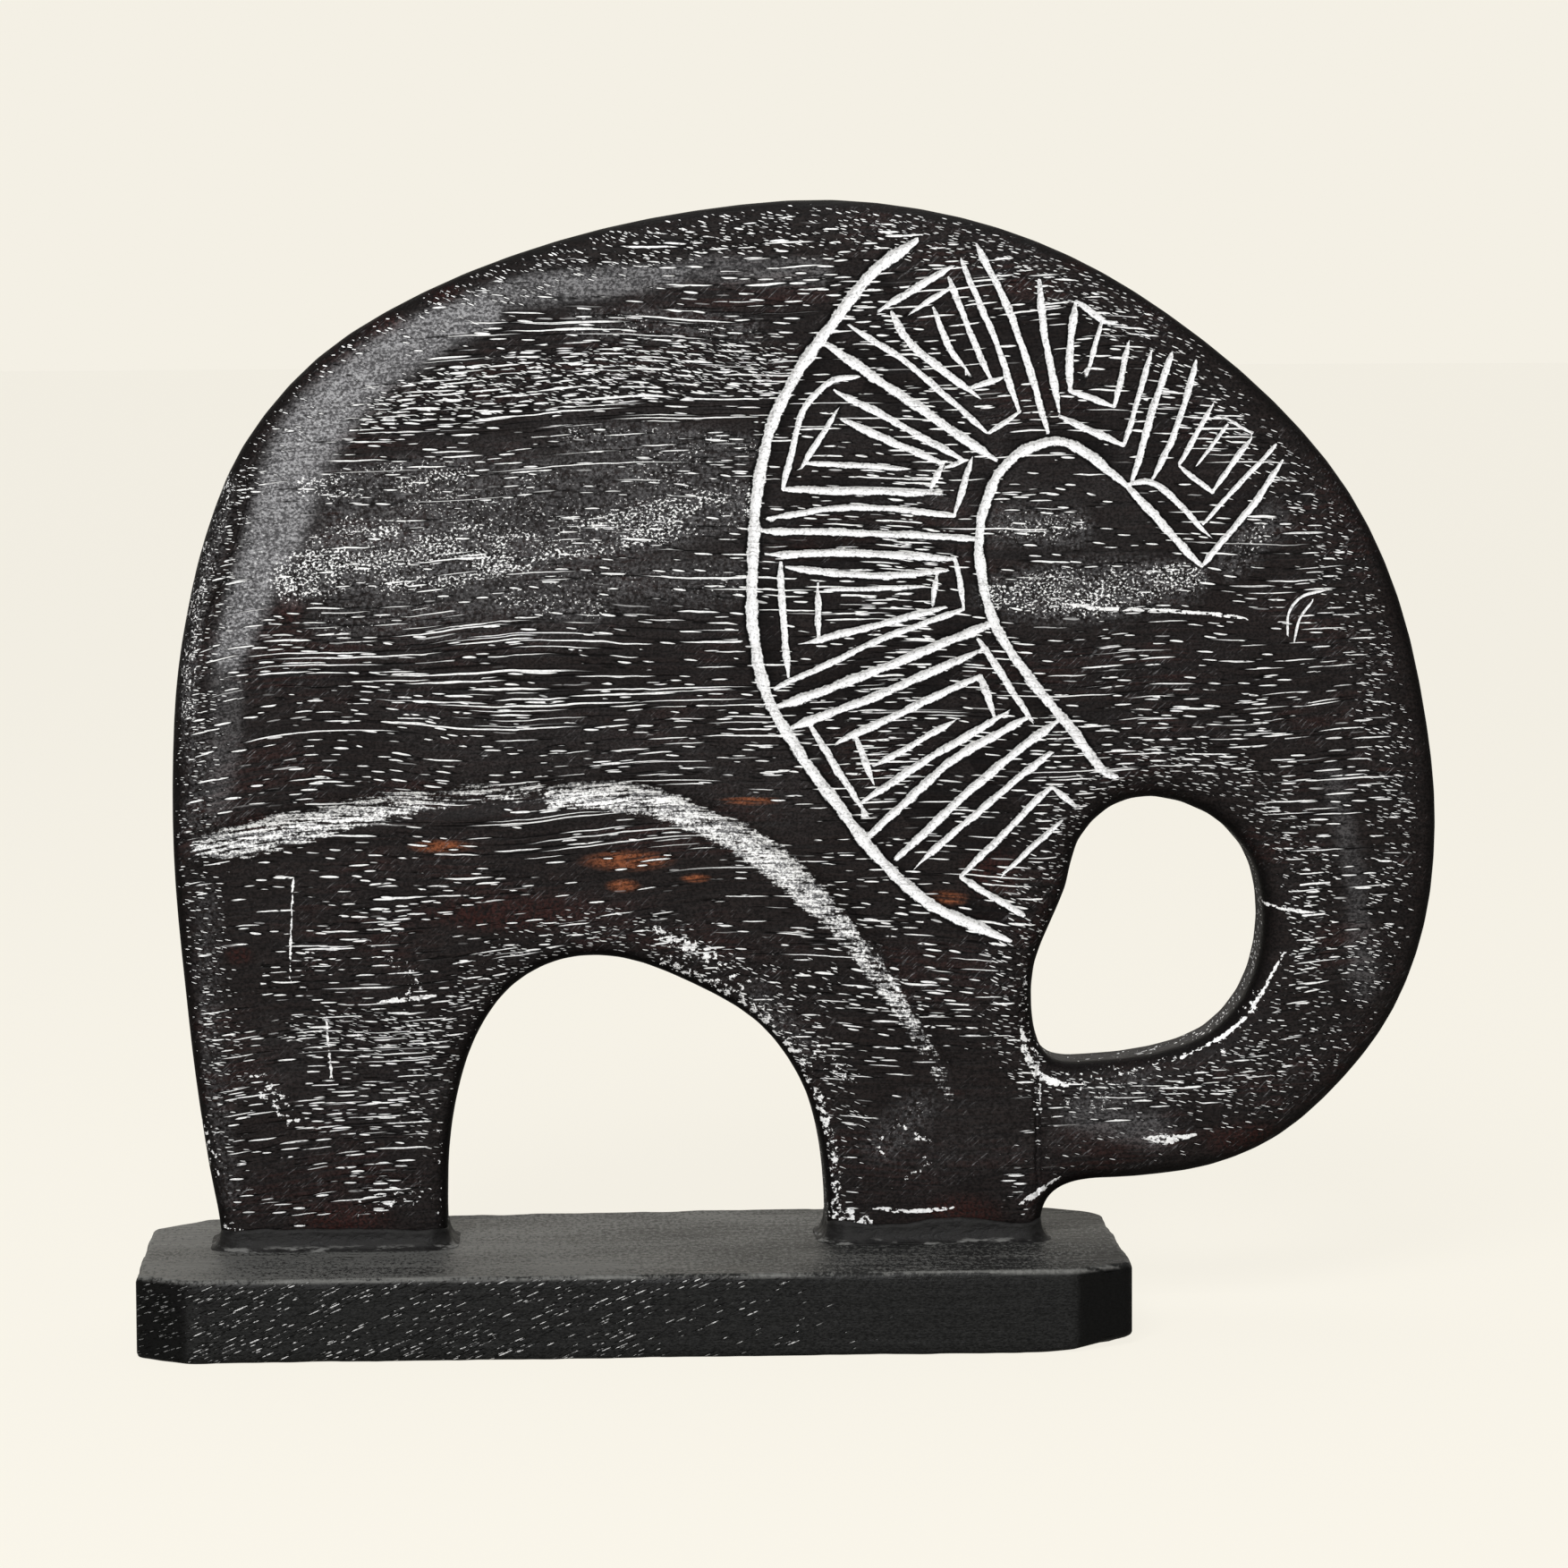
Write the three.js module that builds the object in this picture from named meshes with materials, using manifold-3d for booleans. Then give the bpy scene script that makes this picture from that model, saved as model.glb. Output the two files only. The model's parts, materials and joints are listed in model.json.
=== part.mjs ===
// Carved wooden elephant on a plinth. Millimetres, +Z up, head towards +X,
// the carved side that faces the viewer towards -Y.
import * as THREE from 'three';
import { mergeVertices } from 'three/addons/utils/BufferGeometryUtils.js';
import Module from 'manifold-3d';

const wasm = await Module();
wasm.setup();

// Clear gap left between neighbouring pieces, and how far cutters run past a surface.
const GAP = 0.3;
const OVERRUN = 1;

// Plinth board: straight front and ends, hand-sawn corner cuts, slightly bowed back edge.
const PLINTH_LEFT = -142.5;
const PLINTH_RIGHT = 71.7;
const PLINTH_DEPTH = 89.6;
const PLINTH_HEIGHT = 18;
const PLINTH_ROUND = 1;
const PLINTH_ROUND_STEPS = 2;
const PLINTH_FRONT = -PLINTH_DEPTH / 2;
const PLINTH_BACK = PLINTH_DEPTH / 2;
const CUT_FRONT_LEFT = [11.5, 8];
const CUT_FRONT_RIGHT = [13, 8.5];
const CUT_BACK_RIGHT = [3, 15];
const CUT_BACK_RIGHT_SHOULDER = 9;
const CUT_BACK_LEFT_DEPTH = 18;
const BACK_BOW = [[60, 2.6], [34, 0.6], [10, 0], [-25, 1.2], [-60, 3], [-100, 4.2], [-130, 5]];

// Elephant slab: an upright board standing a little behind the plinth middle.
const BODY_THICKNESS = 25;
const BODY_MIDDLE_Y = 6.5;
const BODY_EDGE_ROUND = 4.6;
const BODY_ROUND_STEPS = 3;
const OUTLINE_STEPS = 3;
const HOLE_STEPS = 2;
const BODY_CLEARING = { x: 400, y: 100 };
const BODY_BASE = PLINTH_HEIGHT + GAP;
const BODY_FRONT_Y = BODY_MIDDLE_Y - BODY_THICKNESS / 2;
const BODY_BACK_Y = BODY_MIDDLE_Y + BODY_THICKNESS / 2;

// Feet: left and right sides of each leg where it meets the plinth.
const HIND_FOOT = { left: -125.8, right: -75.8 };
const FRONT_FOOT = { left: 7.6, right: 55 };

// Putty fillet run round each foot: its section as [out from the leg, up], set off from the leg.
const FILLET_OFFSET = 0.9;
const FILLET_WIDTH = 2.4;
const FILLET_HEIGHT = 4;
const FILLET_TOP_WIDTH = 0.2;
const FILLET_SECTION = [
  [0, 0], [FILLET_WIDTH, 0], [FILLET_WIDTH - 0.1, 0.35], [1, 1.2], [0.4, 2.3],
  [FILLET_TOP_WIDTH, FILLET_HEIGHT], [0, FILLET_HEIGHT],
];
const FOOT_CORNER_TURNS = [0, 30, 60, 90];

// Countersunk wood screws driven up through the plinth into the legs.
const SCREW_POSITIONS = {
  screw_hind_outer: -114,
  screw_hind_inner: -89,
  screw_front_inner: 18,
  screw_front_outer: 43,
};
const SCREW_HEAD_RADIUS = 4;
const SCREW_SHANK_RADIUS = 2;
const SCREW_CORE_RADIUS = 1.4;
const SCREW_HEAD_Z = 1.2;
const SCREW_LENGTH = 38;
const SCREW_POINT = 4;
const SCREW_TAPER = 3.4;
const SCREW_SIDES = 12;
const SCREW_HOLE_SIDES = 20;
const THREAD_PITCH = 2.4;
const THREAD_RIDGES = 9;
const THREAD_ROOT_SHARE = 0.4;
const THREAD_CREST_SHARE = 0.85;
const RECESS = { length: 4.4, width: 1, depth: 1.6 };

// Outer silhouette of the back, head and trunk, from the hind heel round to the trunk tip.
const BACK_AND_TRUNK = [
  [-125.8, 8], [-125.8, 22], [-128.2, 36], [-131, 56], [-133, 76], [-134.8, 98],
  [-135.3, 120], [-134.4, 140], [-132, 156], [-127.4, 174.5], [-119, 194], [-102.6, 213],
  [-79.3, 227.2], [-50, 238.2], [-20, 244.6], [10, 246.8], [38.2, 242.8], [61.8, 234.4],
  [83.4, 221.6], [106.9, 202.2], [123.4, 182.2], [134.2, 159], [140.6, 131], [142.5, 109],
  [140.3, 87], [133.4, 68], [122.5, 53], [107.8, 40.1], [92.6, 33.7], [76, 31.4],
  [63, 30.6], [57.4, 28], [55, 23.4], [55, 8],
];

// Opening between the hind and front legs, from the front leg round to the hind leg.
const LEG_ARCH = [
  [7.6, 8], [7.6, 27], [5.8, 42], [1.4, 54.8], [-7.4, 66.6], [-22, 75.5], [-37.6, 81.3],
  [-50.6, 81], [-61.6, 75.2], [-69.4, 64.4], [-74, 50], [-75.9, 34], [-75.8, 8],
];

// Opening inside the curl of the trunk.
const TRUNK_HOLE = [
  [79.8, 115.8], [70.4, 113.6], [63.2, 106], [60.6, 96], [57, 87.6], [53.6, 79],
  [53, 69], [54.6, 61.2], [58, 57.4], [66.4, 57], [80.6, 58.6], [92.4, 62.8],
  [100.2, 71.2], [103.9, 82], [104.1, 94], [100.9, 103.6], [92, 111.9],
];

// A gouge stroke is a V as deep as a share of its width, up to a limit, with pointed ends.
const GOUGE_DEPTH_SHARE = 0.6;
const GOUGE_DEPTH_LIMIT = 1.3;
const GOUGE_POINT_SHARE = 0.6;
const GOUGE_LIFT = 0.4;

// Carved gouge strokes as [width, points...]; the same pattern is cut on both faces.
const EAR_RIMS = [
  [2.8, [28, 238], [19, 231.5], [9.5, 220], [-1, 204.5], [-6, 190], [-8, 172], [-8, 152],
    [-5, 138.5], [0.5, 128.5], [10, 115], [21, 101], [31, 92.5], [48, 84.5]],
  [2.4, [71.5, 120.5], [69, 121.5], [60, 133], [51, 144], [44, 156], [41.5, 168], [42, 178],
    [46, 187.5], [52, 192.5], [59.5, 194], [66, 190.5], [73.5, 184.5], [90, 166.5], [101, 179.5],
    [108, 189.5]],
];
const EAR_DIVIDERS = [
  [2.4, [8, 215.5], [24, 204.5], [45, 190]],
  [1.8, [-6, 175], [13, 174.5], [41, 173]],
  [2.4, [-3, 136.5], [14, 142.5], [45.5, 155]],
  [2.2, [51.5, 133.5], [35.5, 124.5], [22, 112.5], [17, 108]],
  [2.2, [58.5, 133], [43.5, 121.5], [23, 103]],
];
const EAR_UPPER_KEYS = [
  [1.6, [14, 219], [26, 211], [43, 196]],
  [1.4, [43.5, 196], [50.5, 200.5]],
  [1.8, [41, 237], [49, 220], [56.5, 196]],
  [1.6, [37.5, 233.5], [45, 216], [50, 201]],
  [1.6, [35, 229.5], [39, 219], [44, 207.5]],
  [1.8, [35.5, 232], [25, 226], [19.5, 222.5]],
  [1.6, [35, 227.5], [28, 223]],
  [1.6, [31.5, 223], [35, 214.5], [38.5, 210]],
  [2, [22.5, 222], [26.5, 215.5], [41, 204]],
  [1.4, [39, 205.5], [46.5, 208]],
];
const EAR_MIDDLE_KEYS = [
  [1.6, [15, 208.5], [9.5, 207.5], [3, 201], [0.5, 192], [-1.5, 184]],
  [2, [-1.5, 184], [31.5, 183]],
  [1.8, [10.5, 205], [22, 199], [38, 190]],
  [1.6, [10, 200.5], [2.5, 188.5]],
  [2, [11.5, 199], [33, 189.5]],
  [1.4, [3, 189.8], [25.5, 188.3]],
  [1.8, [33.5, 189.5], [30.5, 183.5]],
  [1.4, [34, 188.5], [38.8, 190]],
  [1.6, [39.5, 190], [36, 178]],
  [1.6, [-3, 178], [14.5, 180], [36, 178]],
  [2, [-4.5, 169.8], [14.5, 170], [36, 168.5]],
  [1.4, [36, 169], [38, 158]],
  [1.8, [-2, 168], [-2, 162], [-0.5, 143]],
  [1.8, [-1, 167], [18, 165], [34, 166]],
  [1.8, [32, 165], [31, 158.5]],
  [1.2, [7.5, 162], [29, 162.5]],
  [1.6, [6, 162], [6, 151]],
  [1.8, [3.5, 150.5], [14, 153], [34, 158]],
  [1.6, [-3.5, 140.5], [8.5, 146], [22, 152], [38, 157.5]],
];
const EAR_LOWER_KEYS = [
  [2.2, [0, 132], [18, 138.5], [41.5, 148.5]],
  [1.8, [4, 132.5], [15.5, 114]],
  [1.8, [41, 151], [52.5, 133.5]],
  [2, [11, 129], [41.5, 143]],
  [2, [41.5, 143], [44.5, 134]],
  [1.8, [14, 130], [18, 119.5]],
  [1.6, [35.5, 133], [24, 126.5], [18, 123.5]],
  [2, [46, 134], [32, 126], [15.5, 115.5]],
  [1.8, [57, 126], [47.5, 118.5], [28, 102]],
  [1.8, [57, 118.5], [37, 98.8]],
  [2, [57.2, 118.5], [62.5, 114]],
  [1.4, [59.5, 111], [46.5, 99.5]],
  [1.8, [37, 98.8], [51, 90]],
];
const FOREHEAD_KEYS = [
  [1.8, [54.5, 229], [56, 216], [59, 200.5]],
  [1.8, [59, 199.5], [73, 193]],
  [2, [62.5, 224.5], [61.2, 212], [61.2, 205]],
  [1.6, [62.8, 224.5], [69, 220], [71.5, 220]],
  [1.4, [68, 219.5], [65.5, 210]],
  [1.8, [61.2, 205], [71, 201.5]],
  [1.6, [74, 215], [71, 201.5]],
  [1.4, [79, 213.5], [76, 202.5], [73, 193]],
  [1.8, [83.5, 213], [79, 199.5], [75, 185.5]],
  [1.6, [89, 211.5], [84.5, 196.5], [79, 185]],
  [1.4, [92.5, 201.5], [85.2, 189]],
  [1.4, [85.2, 188.5], [92.5, 182.5]],
  [1, [95.8, 197.5], [89.5, 189]],
  [0.8, [96, 198.5], [101, 195.5]],
  [1.4, [101, 194.5], [92.5, 182.8]],
  [1.2, [106.5, 193], [97.5, 183.5], [90.5, 176]],
  [1.6, [73.5, 184.5], [79, 185], [91.5, 173.5]],
];
const EYE_ARCS = [
  [0.8, [117.5, 161], [112, 159.6], [109.2, 156], [109, 151.3]],
  [0.8, [114.6, 158.6], [111.7, 155], [110.5, 150]],
];
const TRUNK_SEAM = [
  [1.4, [54.4, 58], [54.2, 44], [54.6, 28]],
];

// Shallow hollow that parts the legs from the belly, as [width, x, z].
const BELLY_HOLLOW = [
  [5, -142, 105], [7, -128, 108.5], [8, -112, 111], [8.5, -89, 115], [8, -63, 117], [8, -37, 117.5],
  [8, -25, 115.5], [7.5, -11, 108.5], [7, 2, 98.5], [6, 14, 87.5], [5, 24, 73.5], [3.5, 33.5, 56],
];
const BELLY_HOLLOW_DEPTH = 1.5;

// Section of the hollow as shares of its width across and of its depth down.
const HOLLOW_SECTION = [
  [0.62, -0.8], [0.5, 0], [0.28, 0.75], [0, 1], [-0.28, 0.75], [-0.5, 0], [-0.62, -0.8],
];

// Dark stained wood, smoother plinth paint, putty and screw steel.
const FINISHES = {
  carved_wood: { color: '#2b2523', roughness: 0.72, metalness: 0 },
  plinth_wood: { color: '#3b3a39', roughness: 0.62, metalness: 0 },
  putty: { color: '#302d2c', roughness: 0.7, metalness: 0 },
  screw_steel: { color: '#b3b0a8', roughness: 0.35, metalness: 1 },
};

function toSolid(geometry) {
  const bare = geometry.index ? geometry.toNonIndexed() : geometry.clone();
  bare.deleteAttribute('normal');
  bare.deleteAttribute('uv');
  const joined = mergeVertices(bare, 1e-4);
  const mesh = new wasm.Mesh({
    numProp: 3,
    vertProperties: new Float32Array(joined.attributes.position.array),
    triVerts: new Uint32Array(joined.index.array),
  });
  mesh.merge();
  return new wasm.Manifold(mesh);
}

function toGeometry(solid) {
  const mesh = solid.getMesh();
  const geometry = new THREE.BufferGeometry();
  geometry.setAttribute('position', new THREE.BufferAttribute(mesh.vertProperties, 3));
  geometry.setIndex(new THREE.BufferAttribute(mesh.triVerts, 1));
  return geometry;
}

function named(name, finish, geometry) {
  const flat = geometry.index ? geometry.toNonIndexed() : geometry;
  flat.deleteAttribute('uv');
  flat.computeVertexNormals();
  const mesh = new THREE.Mesh(flat, new THREE.MeshStandardMaterial(FINISHES[finish]));
  mesh.name = name;
  return mesh;
}

// Smooth run through hand-set points; returns 2-D points.
function smooth(points, perSpan, closed = false) {
  const knots = points.map(([x, z]) => new THREE.Vector3(x, z, 0));
  const curve = new THREE.CatmullRomCurve3(knots, closed, 'centripetal');
  const spans = closed ? points.length : points.length - 1;
  const run = curve.getPoints(spans * perSpan).map((p) => new THREE.Vector2(p.x, p.y));
  if (closed) {
    run.pop();
  }
  return run;
}

// Slab outline stood upright: outline y becomes world Z, thickness runs along world Y.
function uprightSlab(shape) {
  const geometry = new THREE.ExtrudeGeometry(shape, {
    depth: BODY_THICKNESS - 2 * BODY_EDGE_ROUND,
    bevelEnabled: true,
    bevelThickness: BODY_EDGE_ROUND,
    bevelSize: BODY_EDGE_ROUND,
    bevelOffset: -BODY_EDGE_ROUND,
    bevelSegments: BODY_ROUND_STEPS,
  });
  geometry.rotateX(Math.PI / 2);
  geometry.translate(0, BODY_BACK_Y - BODY_EDGE_ROUND, 0);
  return geometry;
}

function elephantShape() {
  const outline = [...smooth(BACK_AND_TRUNK, OUTLINE_STEPS), ...smooth(LEG_ARCH, OUTLINE_STEPS)];
  const shape = new THREE.Shape(outline);
  shape.holes.push(new THREE.Path(smooth(TRUNK_HOLE, HOLE_STEPS, true)));
  return shape;
}

// Closed solid skinned over a row of equal cross-sections, with flat or pointed ends.
function skin(rings, startPoint, endPoint) {
  const size = rings[0].length;
  const positions = rings.flat().flat();
  const start = positions.length / 3;
  positions.push(...startPoint, ...endPoint);
  const faces = [];
  for (let k = 0; k < rings.length - 1; k += 1) {
    for (let i = 0; i < size; i += 1) {
      const j = (i + 1) % size;
      const a = k * size + i;
      const b = k * size + j;
      faces.push(a, b, b + size, a, b + size, a + size);
    }
  }
  const last = (rings.length - 1) * size;
  for (let i = 0; i < size; i += 1) {
    const j = (i + 1) % size;
    faces.push(start, j, i);
    faces.push(start + 1, last + i, last + j);
  }
  const geometry = new THREE.BufferGeometry();
  geometry.setAttribute('position', new THREE.Float32BufferAttribute(positions, 3));
  geometry.setIndex(faces);
  return geometry;
}

function outwardSolid(geometry) {
  const solid = toSolid(geometry);
  if (solid.volume() > 0) {
    return solid;
  }
  const index = Array.from(geometry.index.array);
  const flipped = geometry.clone();
  flipped.setIndex(index.map((_, k) => index[k - (k % 3) + (2 - (k % 3))]));
  return toSolid(flipped);
}

// Unit direction across the run at point k.
function crossDirection(points, k) {
  const before = points[Math.max(k - 1, 0)];
  const after = points[Math.min(k + 1, points.length - 1)];
  const along = [after[0] - before[0], after[1] - before[1]];
  const length = Math.hypot(along[0], along[1]);
  return [-along[1] / length, along[0] / length];
}

// Point moved from a towards b by the given distance.
function towards(a, b, distance) {
  const length = Math.hypot(b[0] - a[0], b[1] - a[1]);
  return [a[0] + ((b[0] - a[0]) * distance) / length, a[1] + ((b[1] - a[1]) * distance) / length];
}

// V-section gouge stroke with pointed ends, cut in from the face at faceY.
function gouge([width, ...points], faceY, inward) {
  const depth = Math.min(GOUGE_DEPTH_SHARE * width, GOUGE_DEPTH_LIMIT);
  const half = (width / 2) * (1 + GOUGE_LIFT / depth);
  const end = points.length - 1;
  const run = [...points];
  run[0] = towards(points[0], points[1], GOUGE_POINT_SHARE * width);
  run[end] = towards(points[end], points[end - 1], GOUGE_POINT_SHARE * width);
  const rings = run.map(([x, z], k) => {
    const [cx, cz] = crossDirection(run, k);
    const top = faceY - inward * GOUGE_LIFT;
    return [
      [x + cx * half, top, z + cz * half],
      [x - cx * half, top, z - cz * half],
      [x, faceY + inward * depth, z],
    ];
  });
  const tip = ([x, z]) => [x, faceY - inward * GOUGE_LIFT, z];
  return outwardSolid(skin(rings, tip(points[0]), tip(points[end])));
}

// Rounded hollow of changing width swept along the belly line.
function bellyHollow(faceY, inward) {
  const points = BELLY_HOLLOW.map(([, x, z]) => [x, z]);
  const rings = BELLY_HOLLOW.map(([width, x, z], k) => {
    const [cx, cz] = crossDirection(points, k);
    return HOLLOW_SECTION.map(([across, down]) => [
      x + cx * across * width,
      faceY + inward * down * BELLY_HOLLOW_DEPTH,
      z + cz * across * width,
    ]);
  });
  const first = points[0];
  const last = points[points.length - 1];
  return outwardSolid(skin(rings, [first[0], faceY, first[1]], [last[0], faceY, last[1]]));
}

function carvings(faceY, inward) {
  const strokes = [
    ...EAR_RIMS,
    ...EAR_DIVIDERS,
    ...EAR_UPPER_KEYS,
    ...EAR_MIDDLE_KEYS,
    ...EAR_LOWER_KEYS,
    ...FOREHEAD_KEYS,
    ...EYE_ARCS,
    ...TRUNK_SEAM,
  ];
  const cutters = strokes.map((stroke) => gouge(stroke, faceY, inward));
  return [...cutters, bellyHollow(faceY, inward)];
}

// Lathe profile of [radius, height] pairs turned round a vertical axis at (x, y).
function turned(profile, x, y, segments) {
  const points = profile.map(([radius, height]) => new THREE.Vector2(radius, height));
  const geometry = new THREE.LatheGeometry(points, segments);
  geometry.rotateX(Math.PI / 2);
  geometry.translate(x, y, 0);
  return geometry;
}

function block(sizeX, sizeY, sizeZ, x, y, z) {
  const geometry = new THREE.BoxGeometry(sizeX, sizeY, sizeZ);
  geometry.translate(x, y, z);
  return geometry;
}

// Hole for a screw's shank and point, up from below the foot.
function pilotHole(x) {
  const radius = SCREW_SHANK_RADIUS + GAP;
  const top = SCREW_HEAD_Z + SCREW_LENGTH + GAP;
  const profile = [[0, 0], [radius, 0], [radius, top - SCREW_POINT], [0, top + OVERRUN]];
  return outwardSolid(turned(profile, x, BODY_MIDDLE_Y, SCREW_SIDES));
}

function elephantBody() {
  const below = block(BODY_CLEARING.x, BODY_CLEARING.y, BODY_BASE, 0, 0, BODY_BASE / 2);
  let solid = toSolid(uprightSlab(elephantShape())).subtract(toSolid(below));
  const cutters = [
    ...carvings(BODY_FRONT_Y, 1),
    ...carvings(BODY_BACK_Y, -1),
    ...Object.values(SCREW_POSITIONS).map((x) => pilotHole(x)),
  ];
  for (const cutter of cutters) {
    solid = solid.subtract(cutter);
  }
  return named('elephant_body', 'carved_wood', toGeometry(solid));
}

function plinthShape() {
  return new THREE.Shape([
    new THREE.Vector2(PLINTH_LEFT + CUT_FRONT_LEFT[0], PLINTH_FRONT),
    new THREE.Vector2(PLINTH_RIGHT - CUT_FRONT_RIGHT[0], PLINTH_FRONT),
    new THREE.Vector2(PLINTH_RIGHT, PLINTH_FRONT + CUT_FRONT_RIGHT[1]),
    new THREE.Vector2(PLINTH_RIGHT, PLINTH_BACK - CUT_BACK_RIGHT[1]),
    new THREE.Vector2(PLINTH_RIGHT - CUT_BACK_RIGHT[0], PLINTH_BACK - CUT_BACK_RIGHT_SHOULDER),
    ...BACK_BOW.map(([x, inset]) => new THREE.Vector2(x, PLINTH_BACK - inset)),
    new THREE.Vector2(PLINTH_LEFT, PLINTH_BACK - CUT_BACK_LEFT_DEPTH),
    new THREE.Vector2(PLINTH_LEFT, PLINTH_FRONT + CUT_FRONT_LEFT[1]),
  ]);
}

// Clearance hole with a countersink that takes the whole screw head below the underside.
function screwHole(x) {
  const shank = SCREW_SHANK_RADIUS + GAP;
  const head = SCREW_HEAD_RADIUS + 2 * GAP;
  const coneBase = SCREW_HEAD_Z + GAP;
  const above = PLINTH_HEIGHT + OVERRUN;
  const profile = [
    [0, -OVERRUN], [head, -OVERRUN], [head, coneBase],
    [shank, coneBase + head - shank], [shank, above], [0, above],
  ];
  return outwardSolid(turned(profile, x, BODY_MIDDLE_Y, SCREW_HOLE_SIDES));
}

function plinth() {
  const geometry = new THREE.ExtrudeGeometry(plinthShape(), {
    depth: PLINTH_HEIGHT - 2 * PLINTH_ROUND,
    bevelEnabled: true,
    bevelThickness: PLINTH_ROUND,
    bevelSize: PLINTH_ROUND,
    bevelOffset: -PLINTH_ROUND,
    bevelSegments: PLINTH_ROUND_STEPS,
  });
  geometry.translate(0, 0, PLINTH_ROUND);
  let solid = toSolid(geometry);
  for (const x of Object.values(SCREW_POSITIONS)) {
    solid = solid.subtract(screwHole(x));
  }
  return named('plinth', 'plinth_wood', toGeometry(solid));
}

// Plan of a foot as a rounded rectangle: points with outward normals, run anticlockwise.
function footLoop(foot) {
  const radius = BODY_EDGE_ROUND;
  const middleX = (foot.left + foot.right) / 2;
  const halfX = (foot.right - foot.left) / 2 - radius;
  const halfY = BODY_THICKNESS / 2 - radius;
  const loop = [];
  for (const [sx, sy, from] of [[1, 1, 0], [-1, 1, 90], [-1, -1, 180], [1, -1, 270]]) {
    for (const turn of FOOT_CORNER_TURNS) {
      const angle = THREE.MathUtils.degToRad(from + turn);
      const normal = [Math.cos(angle), Math.sin(angle)];
      const x = middleX + sx * halfX + normal[0] * radius;
      const y = BODY_MIDDLE_Y + sy * halfY + normal[1] * radius;
      loop.push({ x, y, normal });
    }
  }
  return loop;
}

// Concave bead of putty round a foot, just clear of the leg and of the plinth.
function fillet(name, foot) {
  const loop = footLoop(foot);
  const size = FILLET_SECTION.length;
  const positions = [];
  const faces = [];
  for (const { x, y, normal } of loop) {
    for (const [out, up] of FILLET_SECTION) {
      const away = FILLET_OFFSET + out;
      positions.push(x + normal[0] * away, y + normal[1] * away, BODY_BASE + up);
    }
  }
  for (let k = 0; k < loop.length; k += 1) {
    const next = (k + 1) % loop.length;
    for (let i = 0; i < size; i += 1) {
      const j = (i + 1) % size;
      faces.push(k * size + i, next * size + i, next * size + j);
      faces.push(k * size + i, next * size + j, k * size + j);
    }
  }
  const geometry = new THREE.BufferGeometry();
  geometry.setAttribute('position', new THREE.Float32BufferAttribute(positions, 3));
  geometry.setIndex(faces);
  return named(name, 'putty', toGeometry(outwardSolid(geometry)));
}

// Ridged countersunk screw with a cross recess, point up.
function screw(name, x) {
  const head = SCREW_HEAD_Z;
  const coneTop = head + SCREW_HEAD_RADIUS - SCREW_SHANK_RADIUS;
  const top = head + SCREW_LENGTH;
  const threadStart = top - SCREW_POINT - THREAD_RIDGES * THREAD_PITCH;
  const profile = [
    [0, head], [SCREW_HEAD_RADIUS, head], [SCREW_SHANK_RADIUS, coneTop],
    [SCREW_SHANK_RADIUS, threadStart],
  ];
  for (let ridge = 0; ridge < THREAD_RIDGES; ridge += 1) {
    const z = threadStart + ridge * THREAD_PITCH;
    profile.push([SCREW_CORE_RADIUS, z + THREAD_ROOT_SHARE * THREAD_PITCH]);
    profile.push([SCREW_SHANK_RADIUS, z + THREAD_CREST_SHARE * THREAD_PITCH]);
  }
  profile.push([SCREW_CORE_RADIUS, top - SCREW_TAPER], [0, top]);
  let solid = outwardSolid(turned(profile, x, BODY_MIDDLE_Y, SCREW_SIDES));
  for (const turn of [0, Math.PI / 2]) {
    const arm = new THREE.BoxGeometry(RECESS.length, RECESS.width, 2 * RECESS.depth);
    arm.rotateZ(turn + Math.PI / 4);
    arm.translate(x, BODY_MIDDLE_Y, head);
    solid = solid.subtract(toSolid(arm));
  }
  return named(name, 'screw_steel', toGeometry(solid));
}

function build() {
  const group = new THREE.Group();
  group.name = 'carved_wooden_elephant';
  group.add(elephantBody());
  group.add(plinth());
  group.add(fillet('hind_foot_fillet', HIND_FOOT));
  group.add(fillet('front_foot_fillet', FRONT_FOOT));
  for (const [name, x] of Object.entries(SCREW_POSITIONS)) {
    group.add(screw(name, x));
  }
  return group;
}

export default build();
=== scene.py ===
"""Carved wooden elephant on a plinth: the visual model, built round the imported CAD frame.

Lengths inside the builders are millimetres; meshes are written in metres. The head points to +X,
the front faces -Y and +Z is up, as in the CAD.
"""

import json
import logging
import math
from dataclasses import dataclass, field
from enum import Enum
from typing import Callable, Sequence

import bmesh
import bpy
import numpy as np
from mathutils import Matrix, Vector
from mathutils.geometry import delaunay_2d_cdt

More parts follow.
